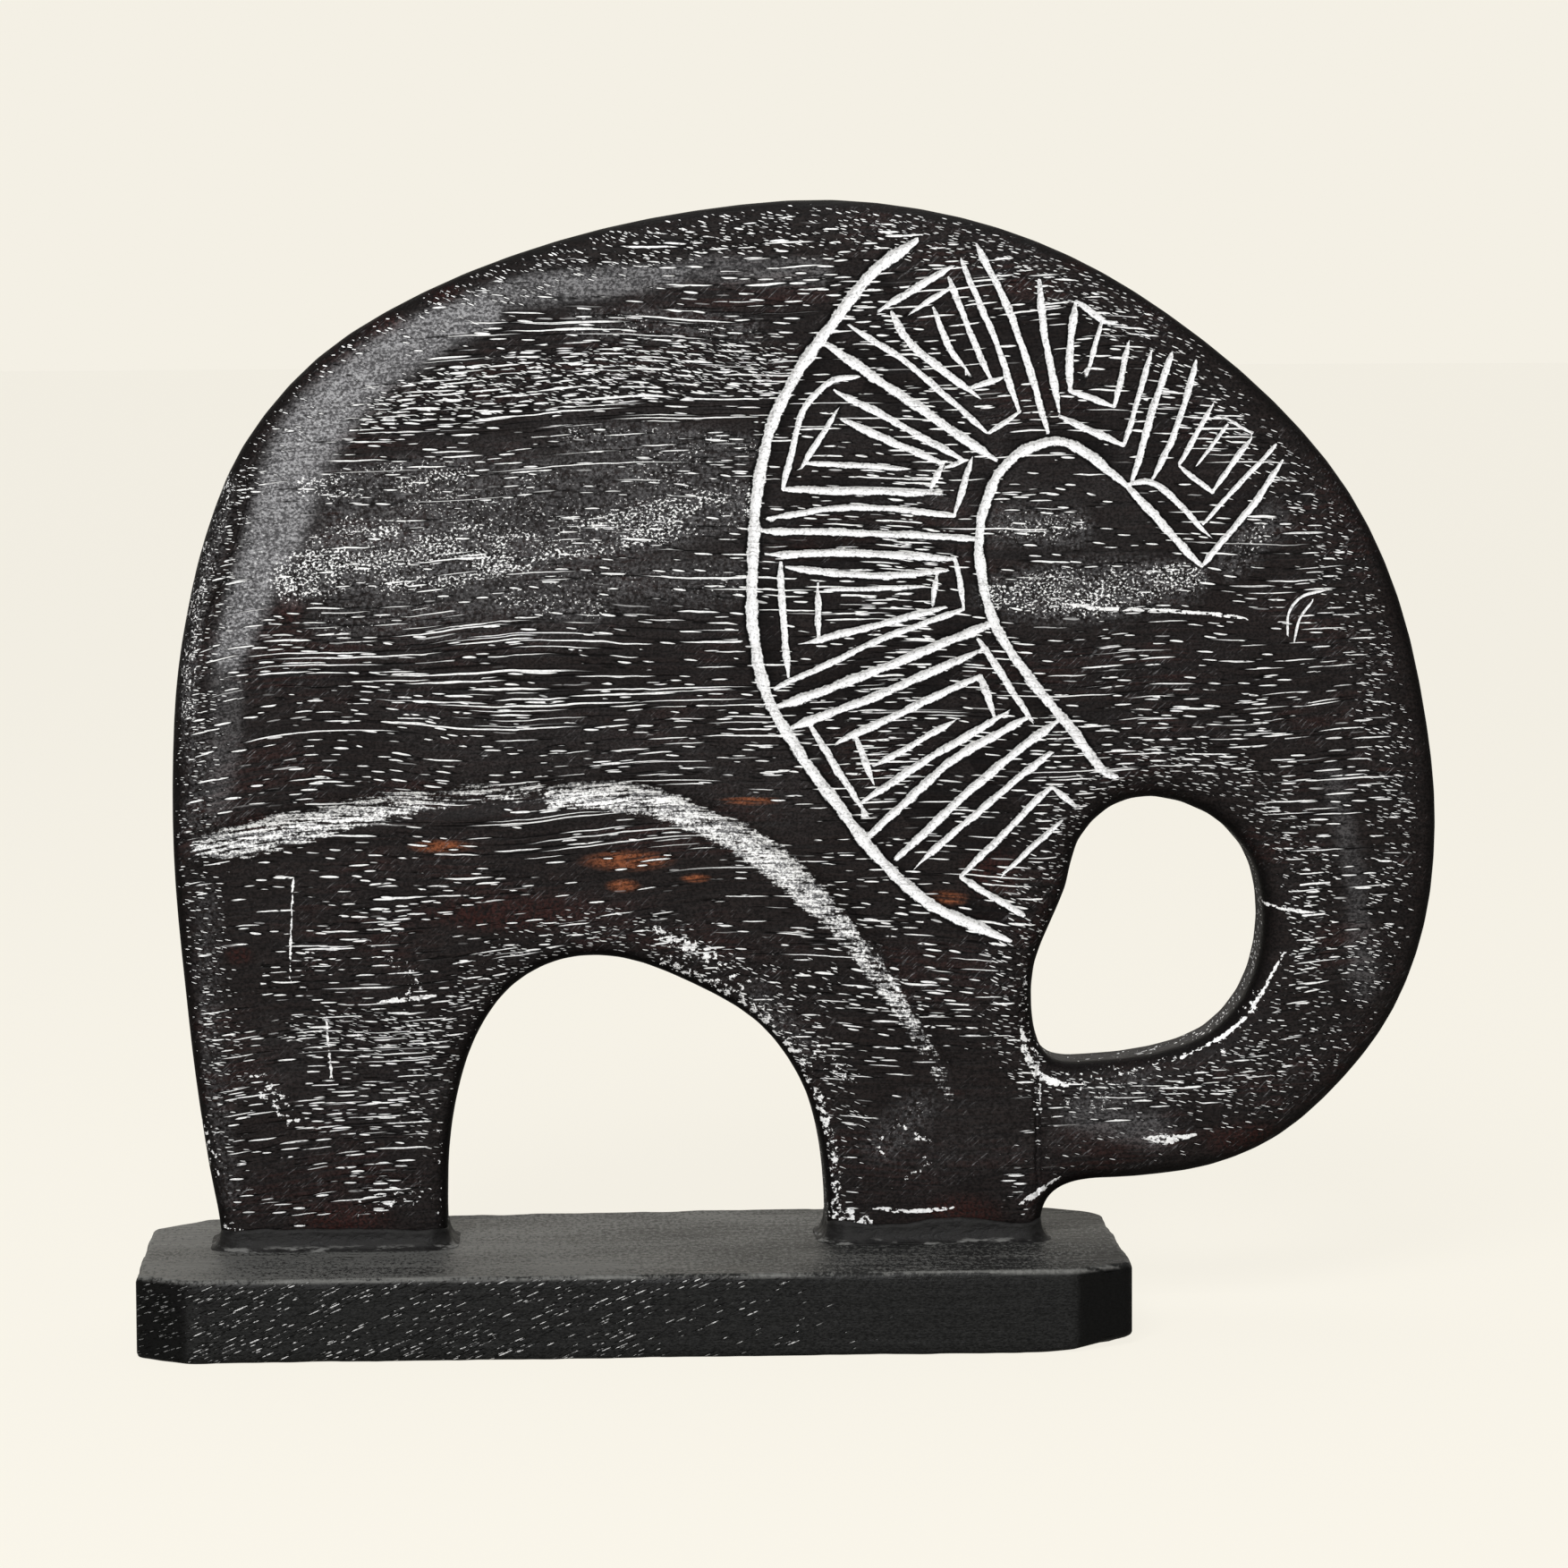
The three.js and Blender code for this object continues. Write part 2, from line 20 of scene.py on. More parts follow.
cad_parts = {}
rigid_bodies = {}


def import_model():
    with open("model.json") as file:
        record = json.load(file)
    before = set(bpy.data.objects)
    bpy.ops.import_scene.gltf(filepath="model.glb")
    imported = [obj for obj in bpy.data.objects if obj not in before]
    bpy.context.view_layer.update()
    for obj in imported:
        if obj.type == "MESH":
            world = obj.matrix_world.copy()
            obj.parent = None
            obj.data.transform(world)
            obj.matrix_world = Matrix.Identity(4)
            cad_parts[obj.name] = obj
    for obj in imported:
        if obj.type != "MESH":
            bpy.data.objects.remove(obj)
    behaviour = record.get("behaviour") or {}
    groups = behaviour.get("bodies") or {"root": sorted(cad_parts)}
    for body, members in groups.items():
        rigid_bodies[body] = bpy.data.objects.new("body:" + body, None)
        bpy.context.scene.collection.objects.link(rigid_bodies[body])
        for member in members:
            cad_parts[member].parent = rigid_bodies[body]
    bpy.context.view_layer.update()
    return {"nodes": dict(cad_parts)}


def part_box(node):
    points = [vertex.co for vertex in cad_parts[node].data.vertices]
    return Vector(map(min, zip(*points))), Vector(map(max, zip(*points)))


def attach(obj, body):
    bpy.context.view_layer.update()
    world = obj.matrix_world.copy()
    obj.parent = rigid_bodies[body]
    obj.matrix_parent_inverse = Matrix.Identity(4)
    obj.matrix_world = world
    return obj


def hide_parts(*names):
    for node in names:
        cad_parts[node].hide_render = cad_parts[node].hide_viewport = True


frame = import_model()

logging.basicConfig(level=logging.INFO, format="%(message)s")
LOG = logging.getLogger("carved_elephant")

MM = 0.001
ROOT = "root"
Array = np.ndarray
Socket = bpy.types.NodeSocket
Triple = tuple[float, float, float]
Stroke = tuple[float, list[tuple[float, float]]]

# The plane geometry's steps and margins (millimetres), shares and counts.
SEARCH_BLOCK = 1500
CURVE_SAMPLES = 24
BAND_STEP = 2.0
RING_KEPT = 0.96
EXTRA_MARGIN = 0.3
MERGE_CELL = 0.24
LEAST_LOOP_POINTS = 6
RIM_LIMIT = 30.0
WAVES = 7
WAVES_SPREAD = 3.2
TINY = 1e-9

EAR_RIMS: list[Stroke] = [
    (2.9, [(28, 238), (19, 231.5), (9.5, 220), (-1, 204.5), (-6, 190), (-8, 172), (-8, 152),
           (-5, 138.5), (0.5, 128.5), (10, 115), (21, 101), (31, 92.5), (48, 84.5)]),
    (2.5, [(71.5, 120.5), (69, 121.5), (60, 133), (51, 144), (44, 156), (41.5, 168), (42, 178),
           (46, 187.5), (52, 192.5), (59.5, 194), (66, 190.5), (73.5, 184.5)]),
    (2.1, [(73, 185), (90, 166.5)]),
    (1.7, [(90, 166.5), (101, 179.5), (108, 189.5)]),
]
EAR_DIVIDERS: list[Stroke] = [
    (2.4, [(8, 215.5), (24, 204.5), (45, 190)]),
    (1.8, [(-6, 175), (13, 174.5), (41, 173)]),
    (2.4, [(-3, 136.5), (14, 142.5), (45.5, 155)]),
    (2.2, [(51.5, 133.5), (35.5, 124.5), (22, 112.5), (17, 108)]),
    (2.2, [(58.5, 133), (43.5, 121.5), (23, 103)]),
]
EAR_UPPER_KEYS: list[Stroke] = [
    (1.6, [(14, 219), (26, 211), (43, 196)]),
    (1.4, [(43.5, 196), (50.5, 200.5)]),
    (1.8, [(41, 237), (49, 220), (56.5, 196)]),
    (1.6, [(37.5, 233.5), (45, 216), (50, 201)]),
    (1.6, [(35, 229.5), (39, 219), (44, 207.5)]),
    (1.8, [(35.5, 232), (25, 226), (19.5, 222.5)]),
    (1.6, [(35, 227.5), (28, 223)]),
    (1.6, [(31.5, 223), (35, 214.5), (38.5, 210)]),
    (2.0, [(22.5, 222), (26.5, 215.5), (41, 204)]),
    (1.4, [(39, 205.5), (46.5, 208)]),
]
EAR_MIDDLE_KEYS: list[Stroke] = [
    (1.6, [(15, 208.5), (9.5, 207.5), (3, 201), (0.5, 192), (-1.5, 184)]),
    (2.0, [(-1.5, 184), (31.5, 183)]),
    (1.8, [(10.5, 205), (22, 199), (38, 190)]),
    (1.6, [(10, 200.5), (2.5, 188.5)]),
    (2.0, [(11.5, 199), (33, 189.5)]),
    (1.4, [(3, 189.8), (25.5, 188.3)]),
    (1.8, [(33.5, 189.5), (30.5, 183.5)]),
    (1.4, [(34, 188.5), (38.8, 190)]),
    (1.6, [(39.5, 190), (36, 178)]),
    (1.6, [(-3, 178), (14.5, 180), (36, 178)]),
    (2.0, [(-4.5, 169.8), (14.5, 170), (36, 168.5)]),
    (1.4, [(36, 169), (38, 158)]),
    (1.8, [(-2, 168), (-2, 162), (-0.5, 143)]),
    (1.8, [(-1, 167), (18, 165), (34, 166)]),
    (1.8, [(32, 165), (31, 158.5)]),
    (1.2, [(7.5, 162), (29, 162.5)]),
    (1.6, [(6, 162), (6, 151)]),
    (1.8, [(3.5, 150.5), (14, 153), (34, 158)]),
    (1.6, [(-3.5, 140.5), (8.5, 146), (22, 152), (38, 157.5)]),
]
EAR_LOWER_KEYS: list[Stroke] = [
    (2.2, [(0, 132), (18, 138.5), (41.5, 148.5)]),
    (1.8, [(4, 132.5), (15.5, 114)]),
    (1.8, [(41, 151), (52.5, 133.5)]),
    (2.0, [(11, 129), (41.5, 143)]),
    (2.0, [(41.5, 143), (44.5, 134)]),
    (1.8, [(14, 130), (18, 119.5)]),
    (1.6, [(35.5, 133), (24, 126.5), (18, 123.5)]),
    (2.0, [(46, 134), (32, 126), (15.5, 115.5)]),
    (1.8, [(57, 126), (47.5, 118.5), (28, 102)]),
    (1.8, [(57, 118.5), (37, 98.8)]),
    (2.0, [(57.2, 118.5), (62.5, 114)]),
    (1.4, [(59.5, 111), (46.5, 99.5)]),
    (1.8, [(37, 98.8), (51, 90)]),
]
FOREHEAD_KEYS: list[Stroke] = [
    (1.8, [(54.5, 229), (56, 216), (59, 200.5)]),
    (1.8, [(59, 199.5), (73, 193)]),
    (2.0, [(62.5, 224.5), (61.2, 212), (61.2, 205)]),
    (1.6, [(62.8, 224.5), (69, 220), (71.5, 220)]),
    (1.4, [(68, 219.5), (65.5, 210)]),
    (1.8, [(61.2, 205), (71, 201.5)]),
    (1.6, [(74, 215), (71, 201.5)]),
    (1.4, [(79, 213.5), (76, 202.5), (73, 193)]),
    (1.8, [(83.5, 213), (79, 199.5), (75, 185.5)]),
    (1.6, [(89, 211.5), (84.5, 196.5), (79, 185)]),
    (1.4, [(92.5, 201.5), (85.2, 189)]),
    (1.4, [(85.2, 188.5), (92.5, 182.5)]),
    (1.0, [(95.8, 197.5), (89.5, 189)]),
    (0.8, [(96, 198.5), (101, 195.5)]),
    (1.4, [(101, 194.5), (92.5, 182.8)]),
    (1.2, [(106.5, 193), (97.5, 183.5), (90.5, 176)]),
    (1.6, [(73.5, 184.5), (79, 185), (91.5, 173.5)]),
]
EYE_ARCS: list[Stroke] = [
    (0.7, [(117.5, 161), (112, 159.6), (109.2, 156), (109, 151.3)]),
    (0.7, [(114.6, 158.6), (111.7, 155), (110.5, 150)]),
]
TRUNK_SEAM: list[Stroke] = [(2.0, [(54.2, 58), (53.9, 44), (54.3, 28)])]
BELLY_HOLLOW: list[tuple[float, float, float]] = [
    (5, -142, 105), (7, -128, 108.5), (8, -112, 111), (8.5, -89, 115), (8, -63, 117),
    (8, -37, 117.5), (8, -25, 115.5), (7.5, -11, 108.5), (7, 2, 98.5), (6, 14, 87.5),
    (5, 24, 73.5), (3.5, 33.5, 56),
]
RIDGE_CRACK: list[Stroke] = [
    (1.2, [(-116.5, 193), (-118.6, 189), (-117.8, 182.6), (-120, 174.4), (-122.7, 166), (-126.4, 158.5),
           (-128.8, 151)]),
]
CHALK_LINES: list[Stroke] = [
    (1.0, [(108.4, 81.3), (101, 68), (93, 61.4), (86, 58)]),
    (1.3, [(17.6, 25.4), (26.3, 24.8), (35.3, 25.4)]),
    (1.2, [(14, 20.5), (22, 19.3), (31, 19.4)]),
    (3.2, [(77.5, 40.6), (83, 40.2), (89.0, 41.0)]),
    (0.9, [(64, 27.4), (74, 29.5), (80, 30.2)]),
    (0.6, [(54.5, 53), (54.6, 50), (54.7, 46.5)]),
    (2.4, [(50.5, 65), (52, 58), (56, 53.5), (61, 52.5)]),
    (1.8, [(50, 26), (54, 28.5), (59, 32)]),
    (1.6, [(62, 89), (65, 94), (67, 99)]),
    (1.2, [(101, 92.5), (108, 91), (115, 90)]),
    (0.6, [(-109, 99.6), (-109.4, 90), (-110, 78)]),
    (0.8, [(-102, 69), (-101.6, 62), (-101.2, 56.6)]),
    (1.4, [(-90, 72.6), (-84, 73), (-78, 73.6)]),
    (1.2, [(60, 158.6), (68, 157.5), (88, 156.5), (100, 155)]),
]


# ---------------------------------------------------------------- plane geometry


def smooth_step(value: Array, low: float, high: float) -> Array:
    """Eases from 0 at low to 1 at high."""
    t = np.clip((value - low) / (high - low), 0.0, 1.0)
    return t * t * (3.0 - 2.0 * t)


def ripple(points: Array, wavelength: float, seed: int) -> Array:
    """Smooth uneven field made of a few crossing waves.

    Args:
        points: Plane points, one row each.
        wavelength: Mean wave length in millimetres.
        seed: Picks the directions and phases.

    Returns:
        Values around 0, mostly within -1..1.
    """
    random = np.random.default_rng(seed)
    total = np.zeros(len(points))
    for _ in range(WAVES):
        angle, phase = random.uniform(0.0, 2.0 * math.pi, 2)
        scale = 2.0 * math.pi / (wavelength * random.uniform(0.6, 1.7))
        along = points[:, 0] * math.cos(angle) + points[:, 1] * math.sin(angle)
        total += np.sin(along * scale + phase)
    return total / WAVES_SPREAD


def left_of(along: Array) -> Array:
    """Unit vectors square to the given plane directions, to their left."""
    along = along / np.linalg.norm(along, axis=1, keepdims=True)
    return np.stack([-along[:, 1], along[:, 0]], axis=1)


def travelled(points: Array) -> Array:
    """Length walked along a polyline, at each of its points."""
    steps = np.linalg.norm(np.diff(points[:, :2], axis=0), axis=1)
    return np.concatenate([[0.0], np.cumsum(steps)])


def sample(points: Array, where: Array) -> Array:
    """Polyline's rows at the given lengths along it."""
    travel = travelled(points)
    return np.stack([np.interp(where, travel, column) for column in points.T], axis=1)


def resample(points: Array, step: float) -> Array:
    """Open polyline at an even step, straight between its points."""
    length = travelled(points)[-1]
    return sample(points, np.linspace(0.0, length, max(2, int(round(length / step)) + 1)))


def curve_piece(p0: Array, p1: Array, p2: Array, p3: Array) -> Array:
    """Samples of the centripetal curve through four knots, from the second up to the third.

    Args:
        p0: First knot.
        p1: Second knot.
        p2: Third knot.
        p3: Fourth knot.

    Returns:
        Points, one row each.
    """
    t1 = np.linalg.norm((p1 - p0)[:2]) ** 0.5
    t2 = t1 + np.linalg.norm((p2 - p1)[:2]) ** 0.5
    t3 = t2 + np.linalg.norm((p3 - p2)[:2]) ** 0.5
    t = np.linspace(t1, t2, CURVE_SAMPLES, endpoint=False)[:, None]
    a1 = (t1 - t) / t1 * p0 + t / t1 * p1
    a2 = (t2 - t) / (t2 - t1) * p1 + (t - t1) / (t2 - t1) * p2
    a3 = (t3 - t) / (t3 - t2) * p2 + (t - t2) / (t3 - t2) * p3
    b1 = (t2 - t) / t2 * a1 + t / t2 * a2
    b2 = (t3 - t) / (t3 - t1) * a2 + (t - t1) / (t3 - t1) * a3
    return (t2 - t) / (t2 - t1) * b1 + (t - t1) / (t2 - t1) * b2


def spline(points: Sequence[Sequence[float]], step: float) -> Array:
    """Smooth curve through two or more rows of coordinates, sampled at an even step.

    Args:
        points: Rows whose first two numbers are the place; any others are carried along.
        step: Spacing of the samples.

    Returns:
        Sample rows.
    """
    knots = np.asarray(points, float)
    if len(knots) > 2:
        ends = np.vstack([2 * knots[0] - knots[1], knots, 2 * knots[-1] - knots[-2]])
        pieces = [curve_piece(*ends[k : k + 4]) for k in range(len(ends) - 3)]
        knots = np.vstack([*pieces, knots[-1:]])
    return resample(knots, step)


def reach(points: Array, starts: Array, ends: Array, first: Array, last: Array) -> tuple[Array, Array]:
    """Distance to the nearest of many segments that carry a number along them.

    Args:
        points: Plane points to measure from.
        starts: Start of each segment.
        ends: End of each segment.
        first: Number carried at each start.
        last: Number carried at each end.

    Returns:
        The distance, and the number carried at the nearest place.
    """
    distance = np.empty(len(points))
    carried = np.empty(len(points))
    along = ends - starts
    length = np.maximum((along**2).sum(1), 1e-12)
    for low in range(0, len(points), SEARCH_BLOCK):
        part = slice(low, low + SEARCH_BLOCK)
        offset = points[part, None, :] - starts[None]
        t = np.clip((offset * along[None]).sum(2) / length, 0.0, 1.0)
        gap = np.linalg.norm(offset - t[..., None] * along[None], axis=2)
        best = gap.argmin(1)
        rows = np.arange(len(best))
        distance[part] = gap[rows, best]
        share = t[rows, best]
        carried[part] = first[best] * (1 - share) + last[best] * share
    return distance, carried


def band_line(band: Sequence[Triple]) -> Array:
    """Middle line of a band given as (width, x, z) rows; its columns are x, z and width."""
    return spline([(x, z, width) for width, x, z in band], BAND_STEP)


def band_reach(points: Array, band: Sequence[Triple]) -> tuple[Array, Array]:
    """Distance from each point to a band's middle line, and the band's width there."""
    line = band_line(band)
    return reach(points, line[:-1, :2], line[1:, :2], line[:-1, 2], line[1:, 2])


def segments(loops: Sequence[Array]) -> tuple[Array, Array]:
    """Starts and ends of the segments of closed loops."""
    return np.vstack(loops), np.vstack([np.roll(loop, -1, axis=0) for loop in loops])


def loop_reach(points: Array, loops: Sequence[Array]) -> Array:
    """Distance from each point to the nearest closed loop.

    Args:
        points: Plane points.
        loops: Closed loops.

    Returns:
        One distance for each point.
    """
    starts, ends = segments(loops)
    zeros = np.zeros(len(starts))
    return reach(points, starts, ends, zeros, zeros)[0]


def inside(points: Array, loops: Sequence[Array]) -> Array:
    """Even-odd test of which points lie in the region that the loops bound.

    Args:
        points: Plane points.
        loops: Closed loops, outer and holes together.

    Returns:
        One flag for each point.
    """
    starts, ends = segments(loops)
    result = np.zeros(len(points), bool)
    rise = ends[:, 1] - starts[:, 1]
    rise = np.where(np.abs(rise) < 1e-12, 1e-12, rise)
    for low in range(0, len(points), SEARCH_BLOCK):
        block = points[low : low + SEARCH_BLOCK]
        y = block[:, 1:2]
        crosses = (starts[None, :, 1] > y) != (ends[None, :, 1] > y)
        x = starts[:, 0] + (y - starts[:, 1]) * (ends[:, 0] - starts[:, 0]) / rise
        result[low : low + SEARCH_BLOCK] = (crosses & (block[:, :1] < x)).sum(1) % 2 == 1
    return result


def area(loop: Array) -> float:
    """Signed area of a closed loop; positive when it runs anticlockwise."""
    following = np.roll(loop, -1, axis=0)
    return float((loop[:, 0] * following[:, 1] - following[:, 0] * loop[:, 1]).sum() / 2)


def even_loop(loop: Array, step: float, softness: float) -> Array:
    """Closed loop resampled at an even step, with its facets melted into a smooth run.

    Args:
        loop: Closed polygon.
        step: Spacing of the new points.
        softness: Radius of the smoothing in millimetres.

    Returns:
        New closed loop.
    """
    closed = np.vstack([loop, loop[:1]])
    length = travelled(closed)[-1]
    even = sample(closed, np.linspace(0.0, length, int(round(length / step)), endpoint=False))
    spread = int(math.ceil(3 * softness / step))
    turns = range(-spread, spread + 1)
    weights = np.exp(-0.5 * (np.array(turns) * step / softness) ** 2)
    weights /= weights.sum()
    return np.sum([weight * np.roll(even, k, axis=0) for k, weight in zip(turns, weights)], axis=0)


def node_loops(node: str, axis: int, level: float) -> list[Array]:
    """Outline loops where a plane cuts a CAD node.

    Args:
        node: CAD node name.
        axis: World axis that the plane is square to.
        level: Place of the plane along that axis, in millimetres.

    Returns:
        Closed loops in the two other axes, millimetres, largest first; the outer one runs
        anticlockwise and holes run clockwise.
    """
    normal = Vector([1.0 if k == axis else 0.0 for k in range(3)])
    bm = bmesh.new()
    bm.from_mesh(frame["nodes"][node].data)
    bmesh.ops.remove_doubles(bm, verts=bm.verts, dist=1e-6)
    geometry = [*bm.verts, *bm.edges, *bm.faces]
    cut = bmesh.ops.bisect_plane(
        bm, geom=geometry, plane_co=normal * level * MM, plane_no=normal, dist=1e-8
    )["geom_cut"]
    neighbours: dict[bmesh.types.BMVert, list[bmesh.types.BMVert]] = {}
    for item in cut:
        if isinstance(item, bmesh.types.BMEdge):
            one, two = item.verts
            neighbours.setdefault(one, []).append(two)
            neighbours.setdefault(two, []).append(one)
    across, up = (k for k in range(3) if k != axis)
    loops = []
    left = set(neighbours)
    while left:
        ahead = [min(left, key=lambda v: (v.co[across], v.co[up]))]
        chain = []
        while ahead:
            chain.append(ahead[0])
            left.discard(ahead[0])
            ahead = [v for v in neighbours[ahead[0]] if v in left]
        loops.append(np.array([[v.co[across], v.co[up]] for v in chain]) / MM)
    bm.free()
    loops = [loop for loop in loops if len(loop) >= LEAST_LOOP_POINTS]
    loops.sort(key=lambda loop: -abs(area(loop)))
    wanted = [1.0] + [-1.0] * (len(loops) - 1)
    return [loop if area(loop) * sign > 0 else loop[::-1] for loop, sign in zip(loops, wanted)]


# ---------------------------------------------------------------- meshes


def offset_rings(loops: list[Array], distances: Sequence[float]) -> Array:
    """The loops' points moved inwards by each distance, less those that come too near a loop.

    Args:
        loops: Outline loops, material on their left.
        distances: How far in each ring lies.

    Returns:
        Points of all the rings.
    """
    made = [np.empty((0, 2))]
    for distance in distances:
        for loop in loops:
            moved = loop + distance * left_of(np.roll(loop, -1, axis=0) - np.roll(loop, 1, axis=0))
            made.append(moved[loop_reach(moved, loops) > RING_KEPT * distance])
    return np.vstack(made)


def hex_grid(low: Array, high: Array, pitch: float) -> Array:
    """Staggered grid of points between two corners.

    Args:
        low: Lowest corner.
        high: Highest corner.
        pitch: Spacing within a row.

    Returns:
        Grid points.
    """
    lines = []
    for k, height in enumerate(np.arange(low[1], high[1], pitch * math.sqrt(3) / 2)):
        across = np.arange(low[0] + (k % 2) * pitch / 2, high[0], pitch)
        lines.append(np.column_stack([across, np.full(len(across), height)]))
    return np.vstack(lines)


def clear_of(grid: Array, others: Array, pitch: float) -> Array:
    """Grid points with none of the others in the grid cells beside them.

    Args:
        grid: Points to choose from.
        others: Points to stay clear of.
        pitch: Size of a cell.

    Returns:
        The points kept.
    """
    cells: set[tuple[int, int]] = set()
    for x, y in others:
        cells.update((int(x // pitch) + i, int(y // pitch) + j) for i in (0, 1) for j in (0, 1))
    near = [(int(x // pitch + 0.5), int(y // pitch + 0.5)) in cells for x, y in grid]
    return grid[~np.array(near)]


def thinned(points: Array) -> Array:
    """Points without those that share a merge cell with an earlier one.

    Args:
        points: Plane points.

    Returns:
        The points kept, in their order.
    """
    kept: dict[tuple[int, int], Array] = {}
    for point in points:
        kept.setdefault((round(point[0] / MERGE_CELL), round(point[1] / MERGE_CELL)), point)
    return np.array(list(kept.values()))


def triangulate(points: Array, loops: list[Array]) -> Array:
    """Triangles over the points that fill the region inside the loops.

    Args:
        points: Plane points, the loops' own first; any that the triangulation merges are moved.
        loops: Outline loops, which stay as edges.

    Returns:
        Point indices of each triangle, anticlockwise.
    """
    edges, start = [], 0
    for loop in loops:
        edges.extend((start + k, start + (k + 1) % len(loop)) for k in range(len(loop)))
        start += len(loop)
    result = delaunay_2d_cdt([Vector(p) for p in points], edges, [], 0, 1e-5)
    places = np.array([tuple(v) for v in result[0]])
    order = np.array([min(old) if old else new for new, old in enumerate(result[3])])
    points[order] = places
    triangles = order[np.array([face for face in result[2] if len(face) == 3])]
    triangles = triangles[inside(points[triangles].mean(1), loops)]
    corner = points[triangles]
    one, two = corner[:, 1] - corner[:, 0], corner[:, 2] - corner[:, 0]
    turn = one[:, 0] * two[:, 1] - one[:, 1] * two[:, 0]
    solid = np.abs(turn) > TINY
    triangles, turn = triangles[solid], turn[solid]
    triangles[turn < 0] = triangles[turn < 0][:, ::-1]
    return triangles


@dataclass
class Sheet:
    """Triangulated plane region; its outline loops come first among the points."""

    loops: list[Array]
    points: Array
    triangles: Array
    rim: Array

    @staticmethod
    def fill(loops: list[Array], rings: Sequence[float], pitch: float, extra: Array) -> "Sheet":
        """Fills a region with rings near its outline, a grid and extra points.

        Args:
            loops: Outline loops, material on their left.
            rings: Distances of the inner rings from the outline.
            pitch: Grid spacing.
            extra: Further points to keep.

        Returns:
            The triangulated region.
        """
        grid = hex_grid(loops[0].min(0), loops[0].max(0), pitch)
        grid = grid[inside(grid, loops)]
        grid = grid[loop_reach(grid, loops) > max(rings) + 0.5 * pitch]
        extra = extra[inside(extra, loops)]
        extra = extra[loop_reach(extra, loops) > EXTRA_MARGIN]
        free = np.vstack([offset_rings(loops, rings), extra, clear_of(grid, extra, pitch)])
        points = np.vstack([*loops, thinned(free)])
        triangles = triangulate(points, loops)
        return Sheet(loops, points, triangles, loop_reach(points, loops))


@dataclass
class Slab:
    """Closed solid between two skins over one sheet, walled along the outline loops."""

    sheet: Sheet
    near: Array
    far: Array
    wall_rows: int
    place: Callable[[Array, Array], Array]
    wall_values: dict[str, float] = field(default_factory=dict)

    def build(self, name: str, attributes: dict[str, Array]) -> bpy.types.Object:
        """Makes the mesh object.

        Args:
            name: Object name.
            attributes: Point values over the sheet by name; along the walls they run from the
                outline's values to wall_values in the middle.

        Returns:
            The new object, linked to the scene.
        """
        points, count = self.sheet.points, len(self.sheet.points)
        outline = sum(len(loop) for loop in self.sheet.loops)
        shares = [k / self.wall_rows for k in range(1, self.wall_rows)]
        vertices = [self.place(points, self.near), self.place(points, self.far)]
        for share in shares:
            level = self.near[:outline] * (1 - share) + self.far[:outline] * share
            vertices.append(self.place(points[:outline], level))
        starts = [0, *(2 * count + k * outline for k in range(len(shares))), count]
        faces = [*self.sheet.triangles.tolist(), *(self.sheet.triangles[:, ::-1] + count).tolist()]
        start = 0
        for loop in self.sheet.loops:
            here = np.arange(start, start + len(loop))
            ahead = np.roll(here, -1)
            for upper, lower in zip(starts[:-1], starts[1:]):
                quads = [upper + here, lower + here, lower + ahead, upper + ahead]
                faces.extend(np.stack(quads, axis=1).tolist())
            start += len(loop)
        made = add_object(name, np.vstack(vertices), faces)
        for title, values in attributes.items():
            layer = made.data.attributes.new(title, "FLOAT", "POINT")
            edge = values[:outline]
            inward = self.wall_values.get(title, edge) - edge
            walls = [edge + math.sin(math.pi * share) * inward for share in shares]
            full = np.concatenate([values, values, *walls])
            layer.data.foreach_set("value", full.astype(np.float32))
        return made


def add_object(name: str, vertices: Array, faces: list[list[int]]) -> bpy.types.Object:
    """Links a smooth-shaded mesh object, given in millimetres, to the scene.

    Args:
        name: Object and mesh name.
        vertices: Points in millimetres.
        faces: Vertex indices of each face.

    Returns:
        The new object.
    """
    mesh = bpy.data.meshes.new(name)
    mesh.from_pydata((vertices * MM).tolist(), [], faces)
    mesh.validate()
    mesh.polygons.foreach_set("use_smooth", [True] * len(mesh.polygons))
    mesh.update()
    made = bpy.data.objects.new(name, mesh)
    bpy.context.scene.collection.objects.link(made)
    return made


# ---------------------------------------------------------------- shader wiring


